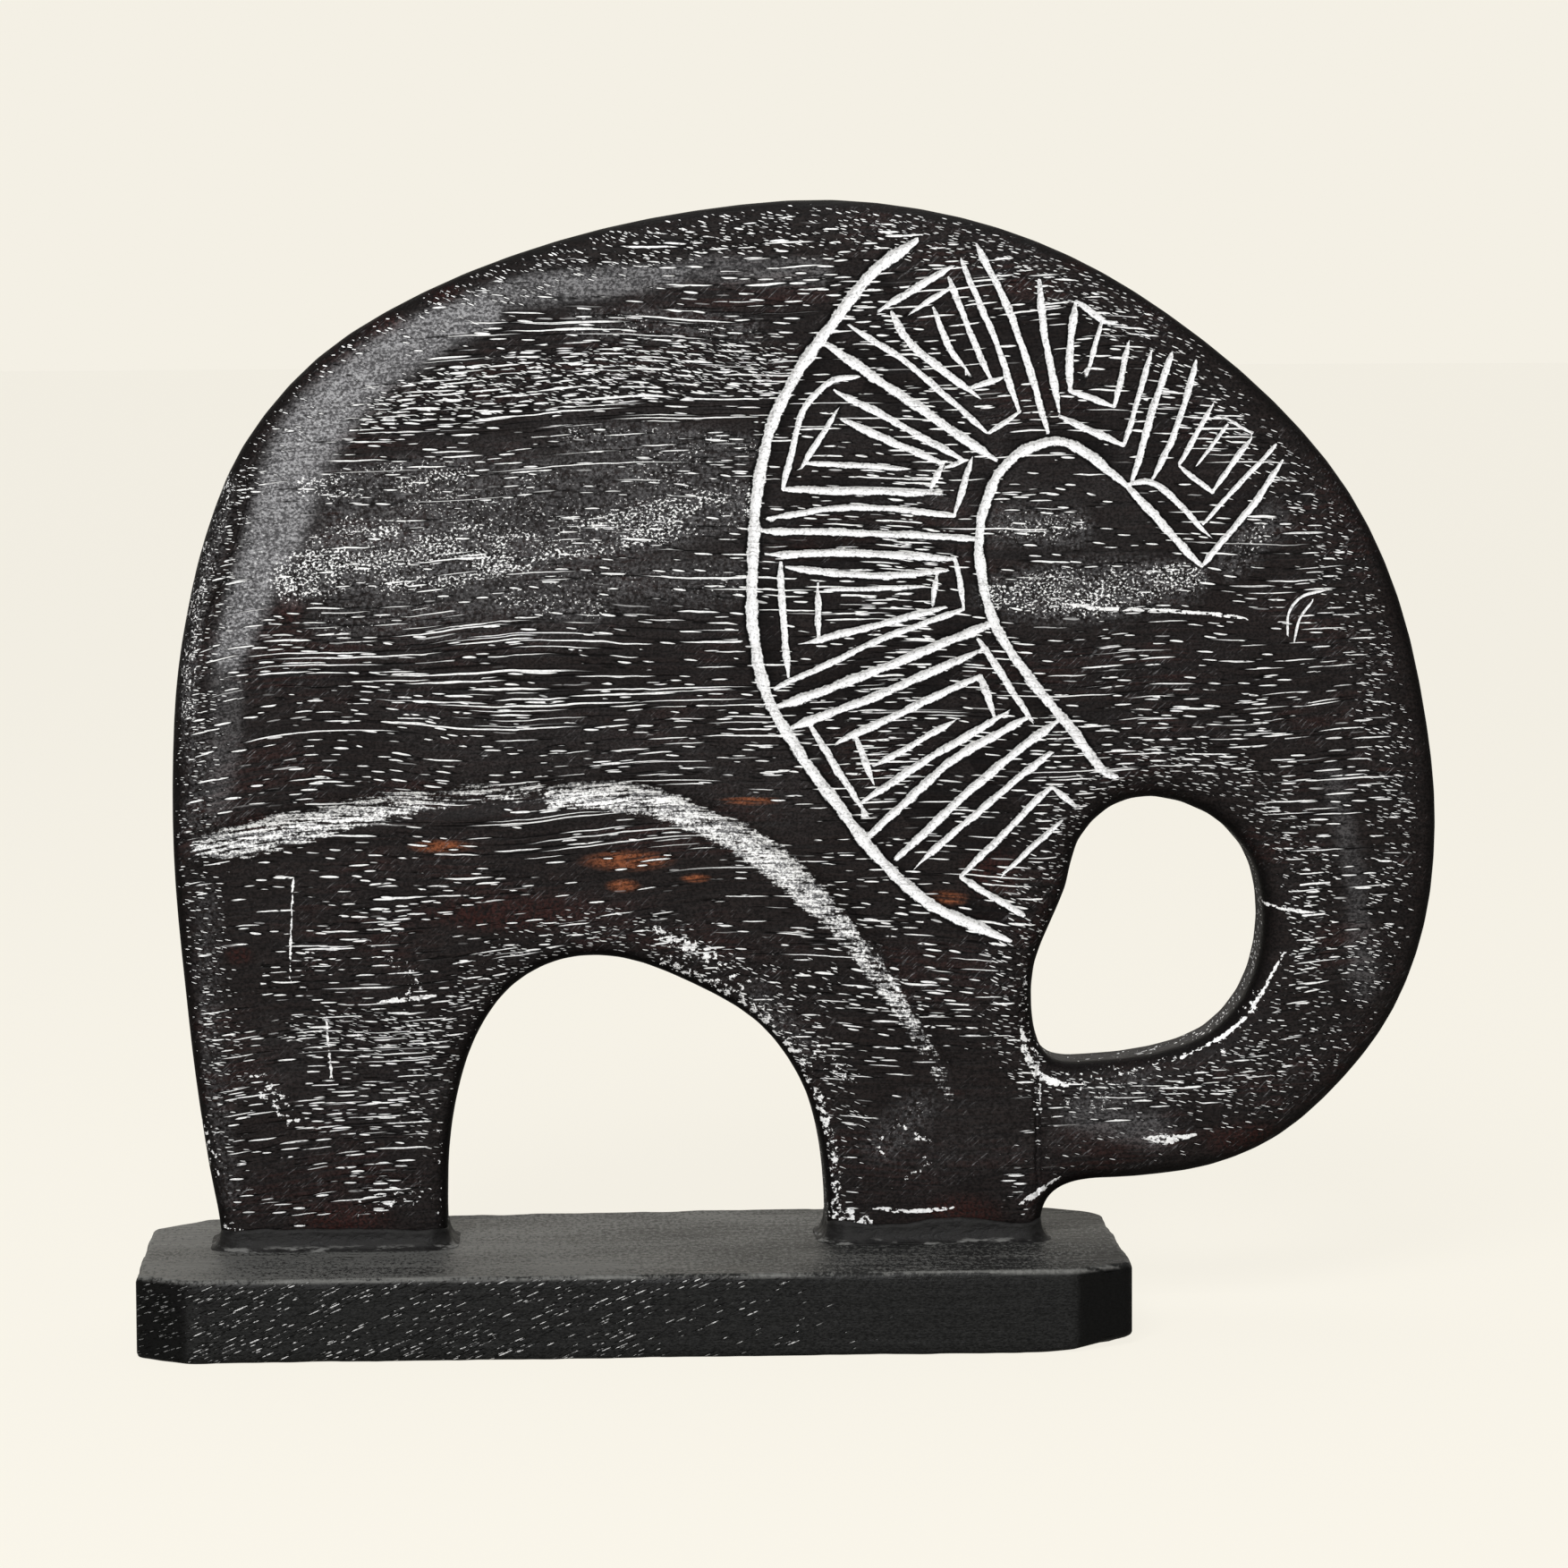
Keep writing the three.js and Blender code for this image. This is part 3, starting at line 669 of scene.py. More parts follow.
class Tone(Enum):
    """Colours of the finishes, linear."""

    CHAR = (0.0105, 0.0086, 0.0084)
    CHAR_WARM = (0.0185, 0.0135, 0.0125)
    CHAR_DEEP = (0.0030, 0.0027, 0.0027)
    # Dark halo round pores; also painted shadow at the cut lips and painted shade towards the outline.
    PORE_SHADE = (0.0016, 0.0014, 0.0014)
    SOOT = (0.050, 0.0465, 0.0470)
    OXBLOOD = (0.040, 0.0105, 0.008)
    RAW_WOOD = (0.26, 0.086, 0.038)
    CHALK = (0.96, 0.96, 0.955)
    CHALK_THIN = (0.72, 0.72, 0.73)
    CHALK_FILM = (0.15, 0.15, 0.155)
    CUT_FILL = (0.88, 0.88, 0.885)
    CUT_FILL_THIN = (0.38, 0.38, 0.385)
    # Grey band on the worn bevel: partly a dull clouding of the finish, partly painted sheen where the bevel
    # catches the light.
    HAZE_AND_SHEEN = (0.135, 0.134, 0.140)
    HAZE_AND_SHEEN_LIGHT = (0.36, 0.36, 0.37)
    SLATE = (0.016, 0.016, 0.0158)
    # Painted sheen of the plinth's top, where it catches the light at a grazing angle.
    SLATE_SHEEN = (0.112, 0.112, 0.107)
    SLATE_DARK = (0.0048, 0.0050, 0.0050)
    SLATE_SAWN = (0.0225, 0.0227, 0.0223)
    SLATE_NICK = (0.006, 0.006, 0.006)
    # Painted shade on the plinth's ends and cut corners.
    SLATE_SIDE_SHADE = (0.0026, 0.0027, 0.0027)
    SLATE_PORE = (0.0016, 0.0016, 0.0016)
    # Light line along the plinth's top edge: partly worn paint, partly painted highlight.
    SLATE_WORN_EDGE_AND_HIGHLIGHT = (0.20, 0.20, 0.19)
    PUTTY_DARK = (0.0090, 0.0087, 0.0086)
    PUTTY = (0.0205, 0.0200, 0.0196)
    # Painted highlight along the putty's lip.
    PUTTY_LIP_HIGHLIGHT = (0.16, 0.16, 0.155)
    STEEL = (0.55, 0.54, 0.50)
    STEEL_DULL = (0.33, 0.31, 0.27)


@dataclass
class Graph:
    """Short-hand for wiring the nodes of one material or world."""

    owner: bpy.types.ID

    @staticmethod
    def start(name: str) -> "Graph":
        """New empty node material.

        Args:
            name: Material name.

        Returns:
            Its graph.
        """
        material = bpy.data.materials.new(name)
        material.use_nodes = True
        material.node_tree.nodes.clear()
        return Graph(material)

    def node(self, kind: str, *values: object, **settings: object) -> bpy.types.Node:
        """Adds a node.

        Args:
            kind: Node type name without its common first part.
            *values: What its first inputs get, in order; None leaves one as it is.
            **settings: Properties to set on it.

        Returns:
            The node.
        """
        made = self.owner.node_tree.nodes.new("ShaderNode" + kind)
        for key, value in settings.items():
            setattr(made, key, value)
        for target, value in zip(made.inputs, values):
            self.feed(target, value)
        return made

    def feed(self, target: Socket, value: object) -> None:
        """Links a socket to the target, or sets the target's own value.

        Args:
            target: Input socket.
            value: Socket, colour or plain value; None leaves the target as it is.
        """
        if isinstance(value, bpy.types.NodeSocket):
            self.owner.node_tree.links.new(value, target)
        elif isinstance(value, Tone):
            target.default_value = (*value.value, 1.0)
        elif value is not None:
            target.default_value = value

    def calc(self, operation: str, *values: object) -> Socket:
        """Result of a math node."""
        return self.node("Math", *values, operation=operation).outputs[0]

    def times(self, first: object, second: object) -> Socket:
        """Product of two values."""
        return self.calc("MULTIPLY", first, second)

    def plus(self, first: object, second: object) -> Socket:
        """Sum of two values."""
        return self.calc("ADD", first, second)

    def minus(self, first: object, second: object) -> Socket:
        """First value less the second."""
        return self.calc("SUBTRACT", first, second)

    def tuned(self, value: object, gain: float, base: object) -> Socket:
        """Value times gain plus base."""
        return self.calc("MULTIPLY_ADD", value, gain, base)

    def most(self, *values: object) -> Socket:
        """Largest of several values.

        Args:
            *values: Sockets or numbers.

        Returns:
            The result socket.
        """
        result = values[0]
        for value in values[1:]:
            result = self.calc("MAXIMUM", result, value)
        return result

    def vector(self, operation: str, *values: object, output: str = "Vector") -> Socket:
        """Result of a vector math node."""
        return self.node("VectorMath", *values, operation=operation).outputs[output]

    def place(self) -> Socket:
        """Object coordinates in millimetres."""
        return self.stretch(self.node("TexCoord").outputs["Object"], (1 / MM, 1 / MM, 1 / MM))

    def stretch(self, vector: Socket, scale: Triple, offset: Triple = (0.0, 0.0, 0.0)) -> Socket:
        """Vector times scale plus offset."""
        return self.vector("MULTIPLY_ADD", vector, scale, offset)

    def shift(self, vector: Socket, amount: Socket, direction: Triple) -> Socket:
        """Vector moved along a direction by a varying amount."""
        return self.vector("MULTIPLY_ADD", direction, amount, vector)

    def axis(self, vector: Socket, letter: str) -> Socket:
        """One component of a vector."""
        return self.node("SeparateXYZ", vector).outputs[letter]

    def leaned(self, vector: Socket, degrees: float) -> Socket:
        """Vector turned about the Y axis.

        Args:
            vector: Input.
            degrees: How far.

        Returns:
            The turned vector.
        """
        made = self.node("Mapping", vector)
        made.inputs["Rotation"].default_value = (0.0, math.radians(degrees), 0.0)
        return made.outputs[0]

    def noise(self, vector: Socket, scale: Triple, detail: float = 2.0, rough: float = 0.5) -> Socket:
        """Noise value in 0..1, mostly near 0.5.

        Args:
            vector: Position.
            scale: Waves per unit along each axis.
            detail: Number of finer layers.
            rough: Strength of the finer layers.

        Returns:
            The noise socket.
        """
        made = self.node("TexNoise", self.stretch(vector, scale))
        for name, value in (("Scale", 1.0), ("Detail", detail), ("Roughness", rough)):
            made.inputs[name].default_value = value
        return made.outputs["Fac"]

    def span(self, value: Socket, low: float, high: float, out_low: float = 0.0,
             out_high: float = 1.0, eased: bool = True) -> Socket:
        """Remaps a value, held at both ends.

        Args:
            value: Input.
            low: Input that gives out_low.
            high: Input that gives out_high.
            out_low: Result at low.
            out_high: Result at high.
            eased: Whether the ends ease in.

        Returns:
            The result socket.
        """
        ease = "SMOOTHSTEP" if eased else "LINEAR"
        return self.node("MapRange", value, low, high, out_low, out_high, interpolation_type=ease).outputs[0]

    def blend(self, share: object, low: object, high: object) -> Socket:
        """Mix of two colours.

        Args:
            share: Share of the second colour.
            low: First colour.
            high: Second colour.

        Returns:
            The mixed colour.
        """
        made = self.node("Mix", share, data_type="RGBA", clamp_factor=True)
        self.feed(made.inputs[6], low)
        self.feed(made.inputs[7], high)
        return made.outputs[2]

    def value(self, name: str) -> Socket:
        """Point value stored on the mesh."""
        return self.node("Attribute", attribute_name=name).outputs["Fac"]

    def spots(self, vector: Socket, spots: Sequence[tuple[float, float, float, float]]) -> Socket:
        """Union of soft elliptical patches in the X-Z plane.

        Args:
            vector: Position in millimetres.
            spots: X and Z of each centre, half-width and half-height.

        Returns:
            1 at the patches' centres and 0 from their edges on.
        """
        made = []
        for x, z, wide, tall in spots:
            moved = self.stretch(vector, (1 / wide, 0.0, 1 / tall), (-x / wide, 0.0, -z / tall))
            made.append(self.span(self.vector("LENGTH", moved, output="Value"), 1.0, 0.25))
        return self.most(*made)

    def pores(self, vector: Socket, cell: Triple, half: Triple, density: object,
              offset: float) -> tuple[Socket, Socket]:
        """Spindle-shaped grain pores of random size, kept at random.

        Args:
            vector: Position in millimetres.
            cell: Mean room of one pore along X, Y and Z.
            half: Largest half-size of a pore, as shares of its room.
            density: Share of the pores that show.
            offset: Moves the pattern, so layers differ.

        Returns:
            Mask that is 1 in a pore, and the dark halo round it.
        """
        wide, thick, tall = half
        moved = self.stretch(vector, tuple(1 / c for c in cell), (offset, 1.7 * offset, 2.3 * offset))
        moved = self.shift(moved, self.axis(vector, "Z"), (2.9 / cell[0], 0.0, 0.0))
        cells = self.node("TexVoronoi", moved, feature="F1", voronoi_dimensions="3D")
        cells.inputs["Scale"].default_value = 1.0
        pick, width, height = self.node("SeparateColor", cells.outputs["Color"]).outputs
        width, room = self.tuned(width, 0.75 * wide, 0.3 * wide), self.tuned(height, 0.55 * tall, 0.5 * tall)
        size = self.node("CombineXYZ", width, thick, room).outputs[0]
        away = self.vector("SUBTRACT", moved, cells.outputs["Position"])
        length = self.vector("LENGTH", self.vector("DIVIDE", away, size), output="Value")
        chosen = self.span(self.minus(density, pick), 0.0, 0.06)
        mask = self.times(self.span(length, 1.08, 0.88), chosen)
        halo = self.times(self.span(length, 2.3, 1.1), chosen)
        return self.calc("MINIMUM", self.times(mask, self.tuned(height, 0.25, 0.88)), 1.0), halo

    def finish(self, colour: Socket, roughness: Socket, height: Socket, lift: float,
               specular: float, metallic: float = 0.0) -> bpy.types.Material:
        """Ends the material with a surface shader and bump.

        Args:
            colour: Base colour.
            roughness: Roughness.
            height: Height field for the bump.
            lift: Bump distance in metres.
            specular: Specular level.
            metallic: Metal share.

        Returns:
            The finished material.
        """
        bump = self.node("Bump")
        shader = self.node("BsdfPrincipled", colour)
        for target, value in (
            (bump.inputs["Distance"], lift), (bump.inputs["Strength"], 1.0), (bump.inputs["Height"], height),
            (shader.inputs["Roughness"], roughness), (shader.inputs["Specular IOR Level"], specular),
            (shader.inputs["Metallic"], metallic), (shader.inputs["Normal"], bump.outputs[0]),
        ):
            self.feed(target, value)
        self.node("OutputMaterial", shader.outputs[0])
        return self.owner


# ---------------------------------------------------------------- finishes


@dataclass(frozen=True)
class CharredWood:
    """Dark stained open-grain wood with white wax left in pores, cuts and hollows; painted shade darkens it
    towards the outline and along the cuts, and a painted sheen lightens the worn bevel.

    It reads these point values of the mesh: paint, chalk, smear, dash, line, dot, stipple, haze,
    soot and rim.
    """

    name: str = "charred_wood"
    scratch_lean: float = 42.0
    rub_spots: tuple[tuple[float, float, float, float], ...] = (
        (-76.8, 106.5, 8, 1.8), (-36, 103, 12, 2.8), (-37, 97.5, 4.5, 1.8), (-9, 116, 8, 1.3),
        (33.5, 94, 6.5, 2.2), (-21, 99, 4, 1.2),
    )
    red_spots: tuple[tuple[float, float, float, float], ...] = (
        (-121, 83, 4, 3), (-99, 24.5, 14, 6), (-109, 159, 4, 6), (-116, 112, 9, 3), (-88, 220, 9, 4),
        (66, 233, 8, 3), (37, 24, 12, 6), (44, 99, 9, 8), (-60, 92, 30, 6), (100, 40, 14, 5),
        (-75, 227, 6, 3), (50, 228, 4, 3),
    )

    def build(self) -> bpy.types.Material:
        """Wires the wood material.

        Returns:
            The material.
        """
        g = Graph.start(self.name)
        raw = g.place()
        place = self.grain_space(g, raw)
        streak = g.noise(place, (0.05, 0.6, 1.3), 5.0, 0.62)
        grain = g.noise(raw, (1.3, 1.3, 1.3), 3.0, 0.6)
        speck = g.noise(raw, (1.5, 1.7, 2.1), 2.0, 0.65)
        pores, halo = self.pore_masks(g, place)
        film, crumbs = self.residue_masks(g, raw, place, grain)
        loose = g.most(pores, self.stipple_mask(g, raw, speck), crumbs)
        paint = g.value("paint")
        ragged = g.noise(raw, (1.0, 1.0, 1.0), 3.0, 0.6)
        cuts = g.span(g.plus(paint, g.tuned(ragged, 0.8, -0.40)), 0.10, 0.26)
        # Painted shade: a painted shadow along the lip outside each cut, and darkening towards the outline
        # where the rounded edge turns from the light; both join the dark halo round the pores.
        lip = g.span(paint, -0.60, -0.10)
        shade = g.most(g.times(halo, 0.88), g.times(lip, 0.85), g.span(g.value("rim"), 3.2, 0.4, 0.0, 0.75))

        colour = g.blend(shade, self.stain(g, raw, streak, grain, speck), Tone.PORE_SHADE)
        crusty = g.blend(g.span(grain, 0.30, 0.58), Tone.CHALK_THIN, Tone.CHALK)
        colour = g.blend(loose, colour, crusty)
        streaky = g.blend(g.span(g.plus(speck, streak), 0.84, 1.12), Tone.CHALK_FILM, Tone.CHALK)
        colour = g.blend(film, colour, streaky)
        filled = g.blend(g.span(g.plus(speck, grain), 0.66, 1.04), Tone.CUT_FILL_THIN, Tone.CUT_FILL)
        colour = g.blend(cuts, colour, filled)
        chalk = g.most(loose, film, cuts)
        roughness = g.plus(g.span(streak, 0.25, 0.75, 0.48, 0.68), g.times(chalk, 0.2))
        height = g.minus(g.times(streak, 0.6), g.times(halo, 0.4))
        relief = g.span(g.plus(chalk, g.value("haze_and_sheen")), 0.0, 1.0, 0.15, 0.5)
        return g.finish(colour, roughness, g.plus(height, g.times(grain, relief)), 0.00030, 0.06)

    def grain_space(self, g: Graph, raw: Socket) -> Socket:
        """Position with the grain's bend and waver taken out, so pores follow it.

        Args:
            g: Graph to wire in.
            raw: Position in millimetres.

        Returns:
            The grain's own coordinates.
        """
        up = (0.0, 0.0, 1.0)
        bend = g.calc("EXPONENT", g.tuned(g.axis(raw, "X"), -0.021, -2.73))
        place = g.shift(raw, g.times(bend, 7.5), up)
        sway = g.noise(raw, (0.011, 0.02, 0.016), 1.0)
        place = g.shift(place, g.tuned(sway, 16.0, -8.0), up)
        shiver = g.noise(place, (0.12, 0.3, 0.3))
        return g.shift(place, g.tuned(shiver, 0.9, -0.45), up)

    def stain(self, g: Graph, raw: Socket, streak: Socket, grain: Socket, speck: Socket) -> Socket:
        """Uneven black-brown stain, greyer where rubbed, with bare spots, and a grey band on the worn bevel
        that is partly dull clouding of the finish and partly painted sheen.

        Args:
            g: Graph to wire in.
            raw: Position in millimetres.
            streak: Long noise along the grain.
            grain: Even noise of about a millimetre.
            speck: Finer noise.

        Returns:
            The wood's colour.
        """
        cloud = g.noise(raw, (0.035, 0.05, 0.07), 4.0, 0.6)
        wood = g.blend(g.span(streak, 0.36, 0.66), Tone.CHAR, Tone.CHAR_WARM)
        warm = g.times(g.times(g.span(cloud, 0.50, 0.64), g.span(streak, 0.40, 0.60)), 0.45)
        red = g.times(g.spots(raw, self.red_spots), g.span(grain, 0.35, 0.6))
        wood = g.blend(g.most(warm, red), wood, Tone.OXBLOOD)
        mottle = g.times(g.span(cloud, 0.36, 0.60, 0.45, 1.0), g.span(grain, 0.34, 0.66, 0.35, 1.0))
        wood = g.blend(g.times(g.value("soot"), mottle), wood, Tone.SOOT)
        bare = g.times(g.spots(raw, self.rub_spots), g.span(streak, 0.34, 0.52))
        wood = g.blend(bare, wood, Tone.RAW_WOOD)
        wood = g.blend(g.span(speck, 0.62, 0.36, 0.0, 0.7), wood, Tone.CHAR_DEEP)
        fuzz = g.times(g.value("stipple"), g.span(grain, 0.40, 0.62, 0.0, 0.4))
        scratch = g.noise(g.leaned(raw, self.scratch_lean), (0.3, 1.0, 3.2))
        scratch = g.times(g.span(scratch, 0.60, 0.72, 0.0, 0.5), g.span(cloud, 0.46, 0.60))
        # Painted sheen: the grey band on the worn bevel round rump and back stands partly for light caught on
        # the bevel, partly for a dull clouding of the finish.
        brushed = g.plus(g.times(speck, 0.7), g.times(streak, 0.3))
        worn = g.times(g.value("haze_and_sheen"), g.span(brushed, 0.36, 0.54, 0.35, 1.0))
        hazy_sheen = g.blend(g.span(brushed, 0.46, 0.62), Tone.HAZE_AND_SHEEN, Tone.HAZE_AND_SHEEN_LIGHT)
        return g.blend(g.most(worn, fuzz, scratch), wood, hazy_sheen)

    def pore_masks(self, g: Graph, place: Socket) -> tuple[Socket, Socket]:
        """White wax in the open pores, as dots, short dashes, long dashes and lines, and its halo.

        Args:
            g: Graph to wire in.
            place: The grain's own coordinates.

        Returns:
            Mask of the wax, and of the dark halo round it.
        """
        dash = g.value("dash")
        layers = [
            g.pores(place, (1.55, 1.0, 1.05), (0.29, 0.6, 0.25), g.value("dot"), 31.3),
            g.pores(place, (5.2, 1.2, 1.05), (0.45, 0.6, 0.24), dash, 3.1),
            g.pores(place, (14.0, 1.3, 1.15), (0.46, 0.6, 0.185), g.times(dash, 0.85), 11.7),
        ]
        lines = g.pores(place, (46.0, 1.7, 1.5), (0.47, 0.6, 0.135), g.value("line"), 23.9)
        broken = g.span(g.noise(place, (0.4, 0.9, 1.2), 1.0), 0.28, 0.36)
        kept = g.span(g.value("rim"), 0.3, 1.1)
        mask, halo = (g.times(g.most(g.times(g.most(*short), broken), long), kept)
                      for short, long in zip(zip(*layers), lines))
        return mask, halo

    def stipple_mask(self, g: Graph, raw: Socket, speck: Socket) -> Socket:
        """Fine speckle of wax in worn patches.

        Args:
            g: Graph to wire in.
            raw: Position in millimetres.
            speck: Fine noise.

        Returns:
            The speckle's mask.
        """
        cloud = g.noise(raw, (0.10, 0.10, 0.22), 3.0)
        strength = g.times(g.value("stipple"), g.span(cloud, 0.36, 0.56, 0.55, 1.0))
        return g.span(g.minus(speck, g.tuned(strength, -0.26, 0.80)), 0.0, 0.04)

    def residue_masks(self, g: Graph, raw: Socket, place: Socket, grain: Socket) -> tuple[Socket, Socket]:
        """Streaky chalk lying in the belly hollow, and crumbs elsewhere.

        Args:
            g: Graph to wire in.
            raw: Position in millimetres.
            place: The grain's own coordinates.
            grain: Even noise of about a millimetre.

        Returns:
            Mask of the chalk film, and of the crumbs.
        """
        lines = g.noise(place, (0.12, 0.8, 1.7), 4.0, 0.65)
        mixed = g.tuned(grain, 0.35, g.times(lines, 0.65))
        film = g.span(g.minus(mixed, g.tuned(g.value("chalk"), -0.40, 0.80)), 0.0, 0.07)
        crumb = g.noise(raw, (0.70, 0.70, 0.95), 3.0, 0.66)
        return film, g.span(g.minus(crumb, g.tuned(g.value("smear"), -0.42, 0.83)), 0.0, 0.03)


@dataclass(frozen=True)
class PlinthPaint:
    """Dark grey paint: smooth on top with a painted sheen, open pores with white wax on the sawn sides, and
    painted shade on the ends and cut corners.
    """

    name: str = "plinth_paint"
    top_level: float = 17.2
    pore_lean: float = 24.0

    def build(self) -> bpy.types.Material:
        """Wires the plinth material, which reads the point value rim.

        Returns:
            The material.
        """
        g = Graph.start(self.name)
        raw = g.place()
        streak = g.noise(raw, (0.03, 0.35, 0.5), 4.0, 0.6)
        cloud = g.noise(raw, (0.03, 0.05, 0.05))
        grain = g.noise(raw, (0.9, 0.9, 0.9), 3.0, 0.6)
        on_top = g.span(g.axis(raw, "Z"), self.top_level - 0.5, self.top_level + 0.5)
        end_on = g.calc("ABSOLUTE", g.axis(g.node("TexCoord").outputs["Normal"], "X"))
        left = g.span(g.axis(raw, "X"), 25.0, -50.0)
        drift = g.times(left, g.span(cloud, 0.34, 0.60, 0.5, 0.95))
        pores, halo = g.pores(g.leaned(raw, self.pore_lean), (3.6, 1.4, 0.95), (0.44, 0.6, 0.14), drift, 5.3)
        bare = g.minus(1.0, on_top)
        pores, halo = g.times(pores, bare), g.times(halo, bare)

        # The top is lighter than the sides by a painted sheen.
        paint = g.blend(on_top, self.side(g, raw, end_on), self.top(g, raw, streak, cloud))
        paint = g.blend(g.times(halo, 0.85), paint, Tone.SLATE_PORE)
        # Light line along the top's edge: partly worn paint, partly a painted highlight where the edge
        # catches the light.
        edge = g.times(g.times(g.span(g.value("rim"), 1.7, 0.7), on_top), g.span(streak, 0.45, 0.6))
        paint = g.blend(g.times(edge, 0.5), paint, Tone.SLATE_WORN_EDGE_AND_HIGHLIGHT)
        chipped = g.times(pores, g.span(grain, 0.42, 0.62, 0.04, 0.75))
        chipped = g.times(chipped, g.span(end_on, 0.25, 0.6, 1.0, 0.35))
        height = g.minus(g.times(streak, 0.8), g.times(halo, 0.5))
        height = g.plus(height, g.times(grain, 0.5))
        roughness = g.span(streak, 0.25, 0.75, 0.40, 0.58)
        return g.finish(g.blend(chipped, paint, Tone.CHALK), roughness, height, 0.00035, 0.11)

    def side(self, g: Graph, raw: Socket, end_on: Socket) -> Socket:
        """Colour of the sawn sides, with painted shade darkening the ends and cut corners, which face away
        from the light.

        Args:
            g: Graph to wire in.
            raw: Position in millimetres.
            end_on: How squarely the surface faces along X.

        Returns:
            The colour.
        """
        sawn = g.noise(raw, (1.5, 1.8, 4.0), 3.0, 0.65)
        side = g.blend(g.span(sawn, 0.30, 0.72), Tone.SLATE_DARK, Tone.SLATE_SAWN)
        # Painted shade on faces that turn along X: the ends and cut corners.
        return g.blend(g.span(end_on, 0.25, 0.6, 0.0, 0.85), side, Tone.SLATE_SIDE_SHADE)

    def top(self, g: Graph, raw: Socket, streak: Socket, cloud: Socket) -> Socket:
        """Colour of the top, brushed and nicked, lighter than the sides and lighter still towards the hind
        end: a painted sheen where the top catches the light at a grazing angle.

        Args:
            g: Graph to wire in.
            raw: Position in millimetres.
            streak: Long noise along the board.
            cloud: Broad noise.

        Returns:
            The colour.
        """
        # Painted sheen, growing towards the hind end.
        hind = g.span(g.axis(raw, "X"), 60.0, -130.0, -0.2, 0.25)
        sand = g.noise(raw, (1.1, 0.5, 1.0), 4.0, 0.75)
        worn = g.plus(g.plus(g.plus(streak, cloud), hind), g.tuned(sand, 3.2, -1.6))
        top = g.blend(g.span(worn, 0.72, 1.3), Tone.SLATE, Tone.SLATE_SHEEN)
        nick = g.noise(raw, (0.16, 0.55, 1.0), 4.0, 0.7)
        return g.blend(g.span(nick, 0.60, 0.67, 0.0, 0.75), top, Tone.SLATE_NICK)


@dataclass(frozen=True)
class PaintedPutty:
    """Matt putty bead painted over with the dark stain, with a painted highlight in light grey streaks along
    its lip.
    """

    name: str = "painted_putty"
    lip_level: float = 18.2

    def build(self) -> bpy.types.Material:
        """Wires the putty material.

        Returns:
            The material.
        """
        g = Graph.start(self.name)
        raw = g.place()
        lumps = g.noise(raw, (0.35, 0.35, 0.6), 4.0, 0.6)
        lip_highlight = g.noise(raw, (0.18, 0.18, 0.9), 3.0, 0.6)
        colour = g.blend(g.span(lumps, 0.35, 0.7), Tone.PUTTY_DARK, Tone.PUTTY)
        # Painted highlight: light grey streaks along the lip of the bead.
        low = g.span(g.axis(raw, "Z"), self.lip_level + 1.2, self.lip_level)
        colour = g.blend(g.times(g.span(lip_highlight, 0.50, 0.62, 0.0, 0.85), low), colour, Tone.PUTTY_LIP_HIGHLIGHT)
        return g.finish(colour, g.span(lumps, 0.3, 0.7, 0.5, 0.7), lumps, 0.0004, 0.13)


@dataclass(frozen=True)
class PlatedSteel:
    """Zinc-plated screw steel with fine turning marks."""

    name: str = "plated_steel"

    def build(self) -> bpy.types.Material:
        """Wires the screw material.

        Returns:
            The material.
        """
        g = Graph.start(self.name)
        raw = g.place()
        marks = g.noise(raw, (1.0, 1.0, 9.0), 3.0)
        stain = g.noise(raw, (0.5, 0.5, 0.5), 3.0)
        colour = g.blend(g.span(stain, 0.45, 0.7), Tone.STEEL, Tone.STEEL_DULL)
        return g.finish(colour, g.span(marks, 0.3, 0.7, 0.25, 0.45), marks, 0.00005, 0.5, 1.0)


def dress(piece: bpy.types.Object, material: bpy.types.Material) -> None:
    """Gives an object one material in place of any it had.

    Args:
        piece: Object to dress.
        material: Its finish.
    """
    slots = piece.data.materials
    if len(slots) == 0:
        slots.append(material)
    for k in range(len(slots)):
        slots[k] = material


# ---------------------------------------------------------------- sub-assemblies


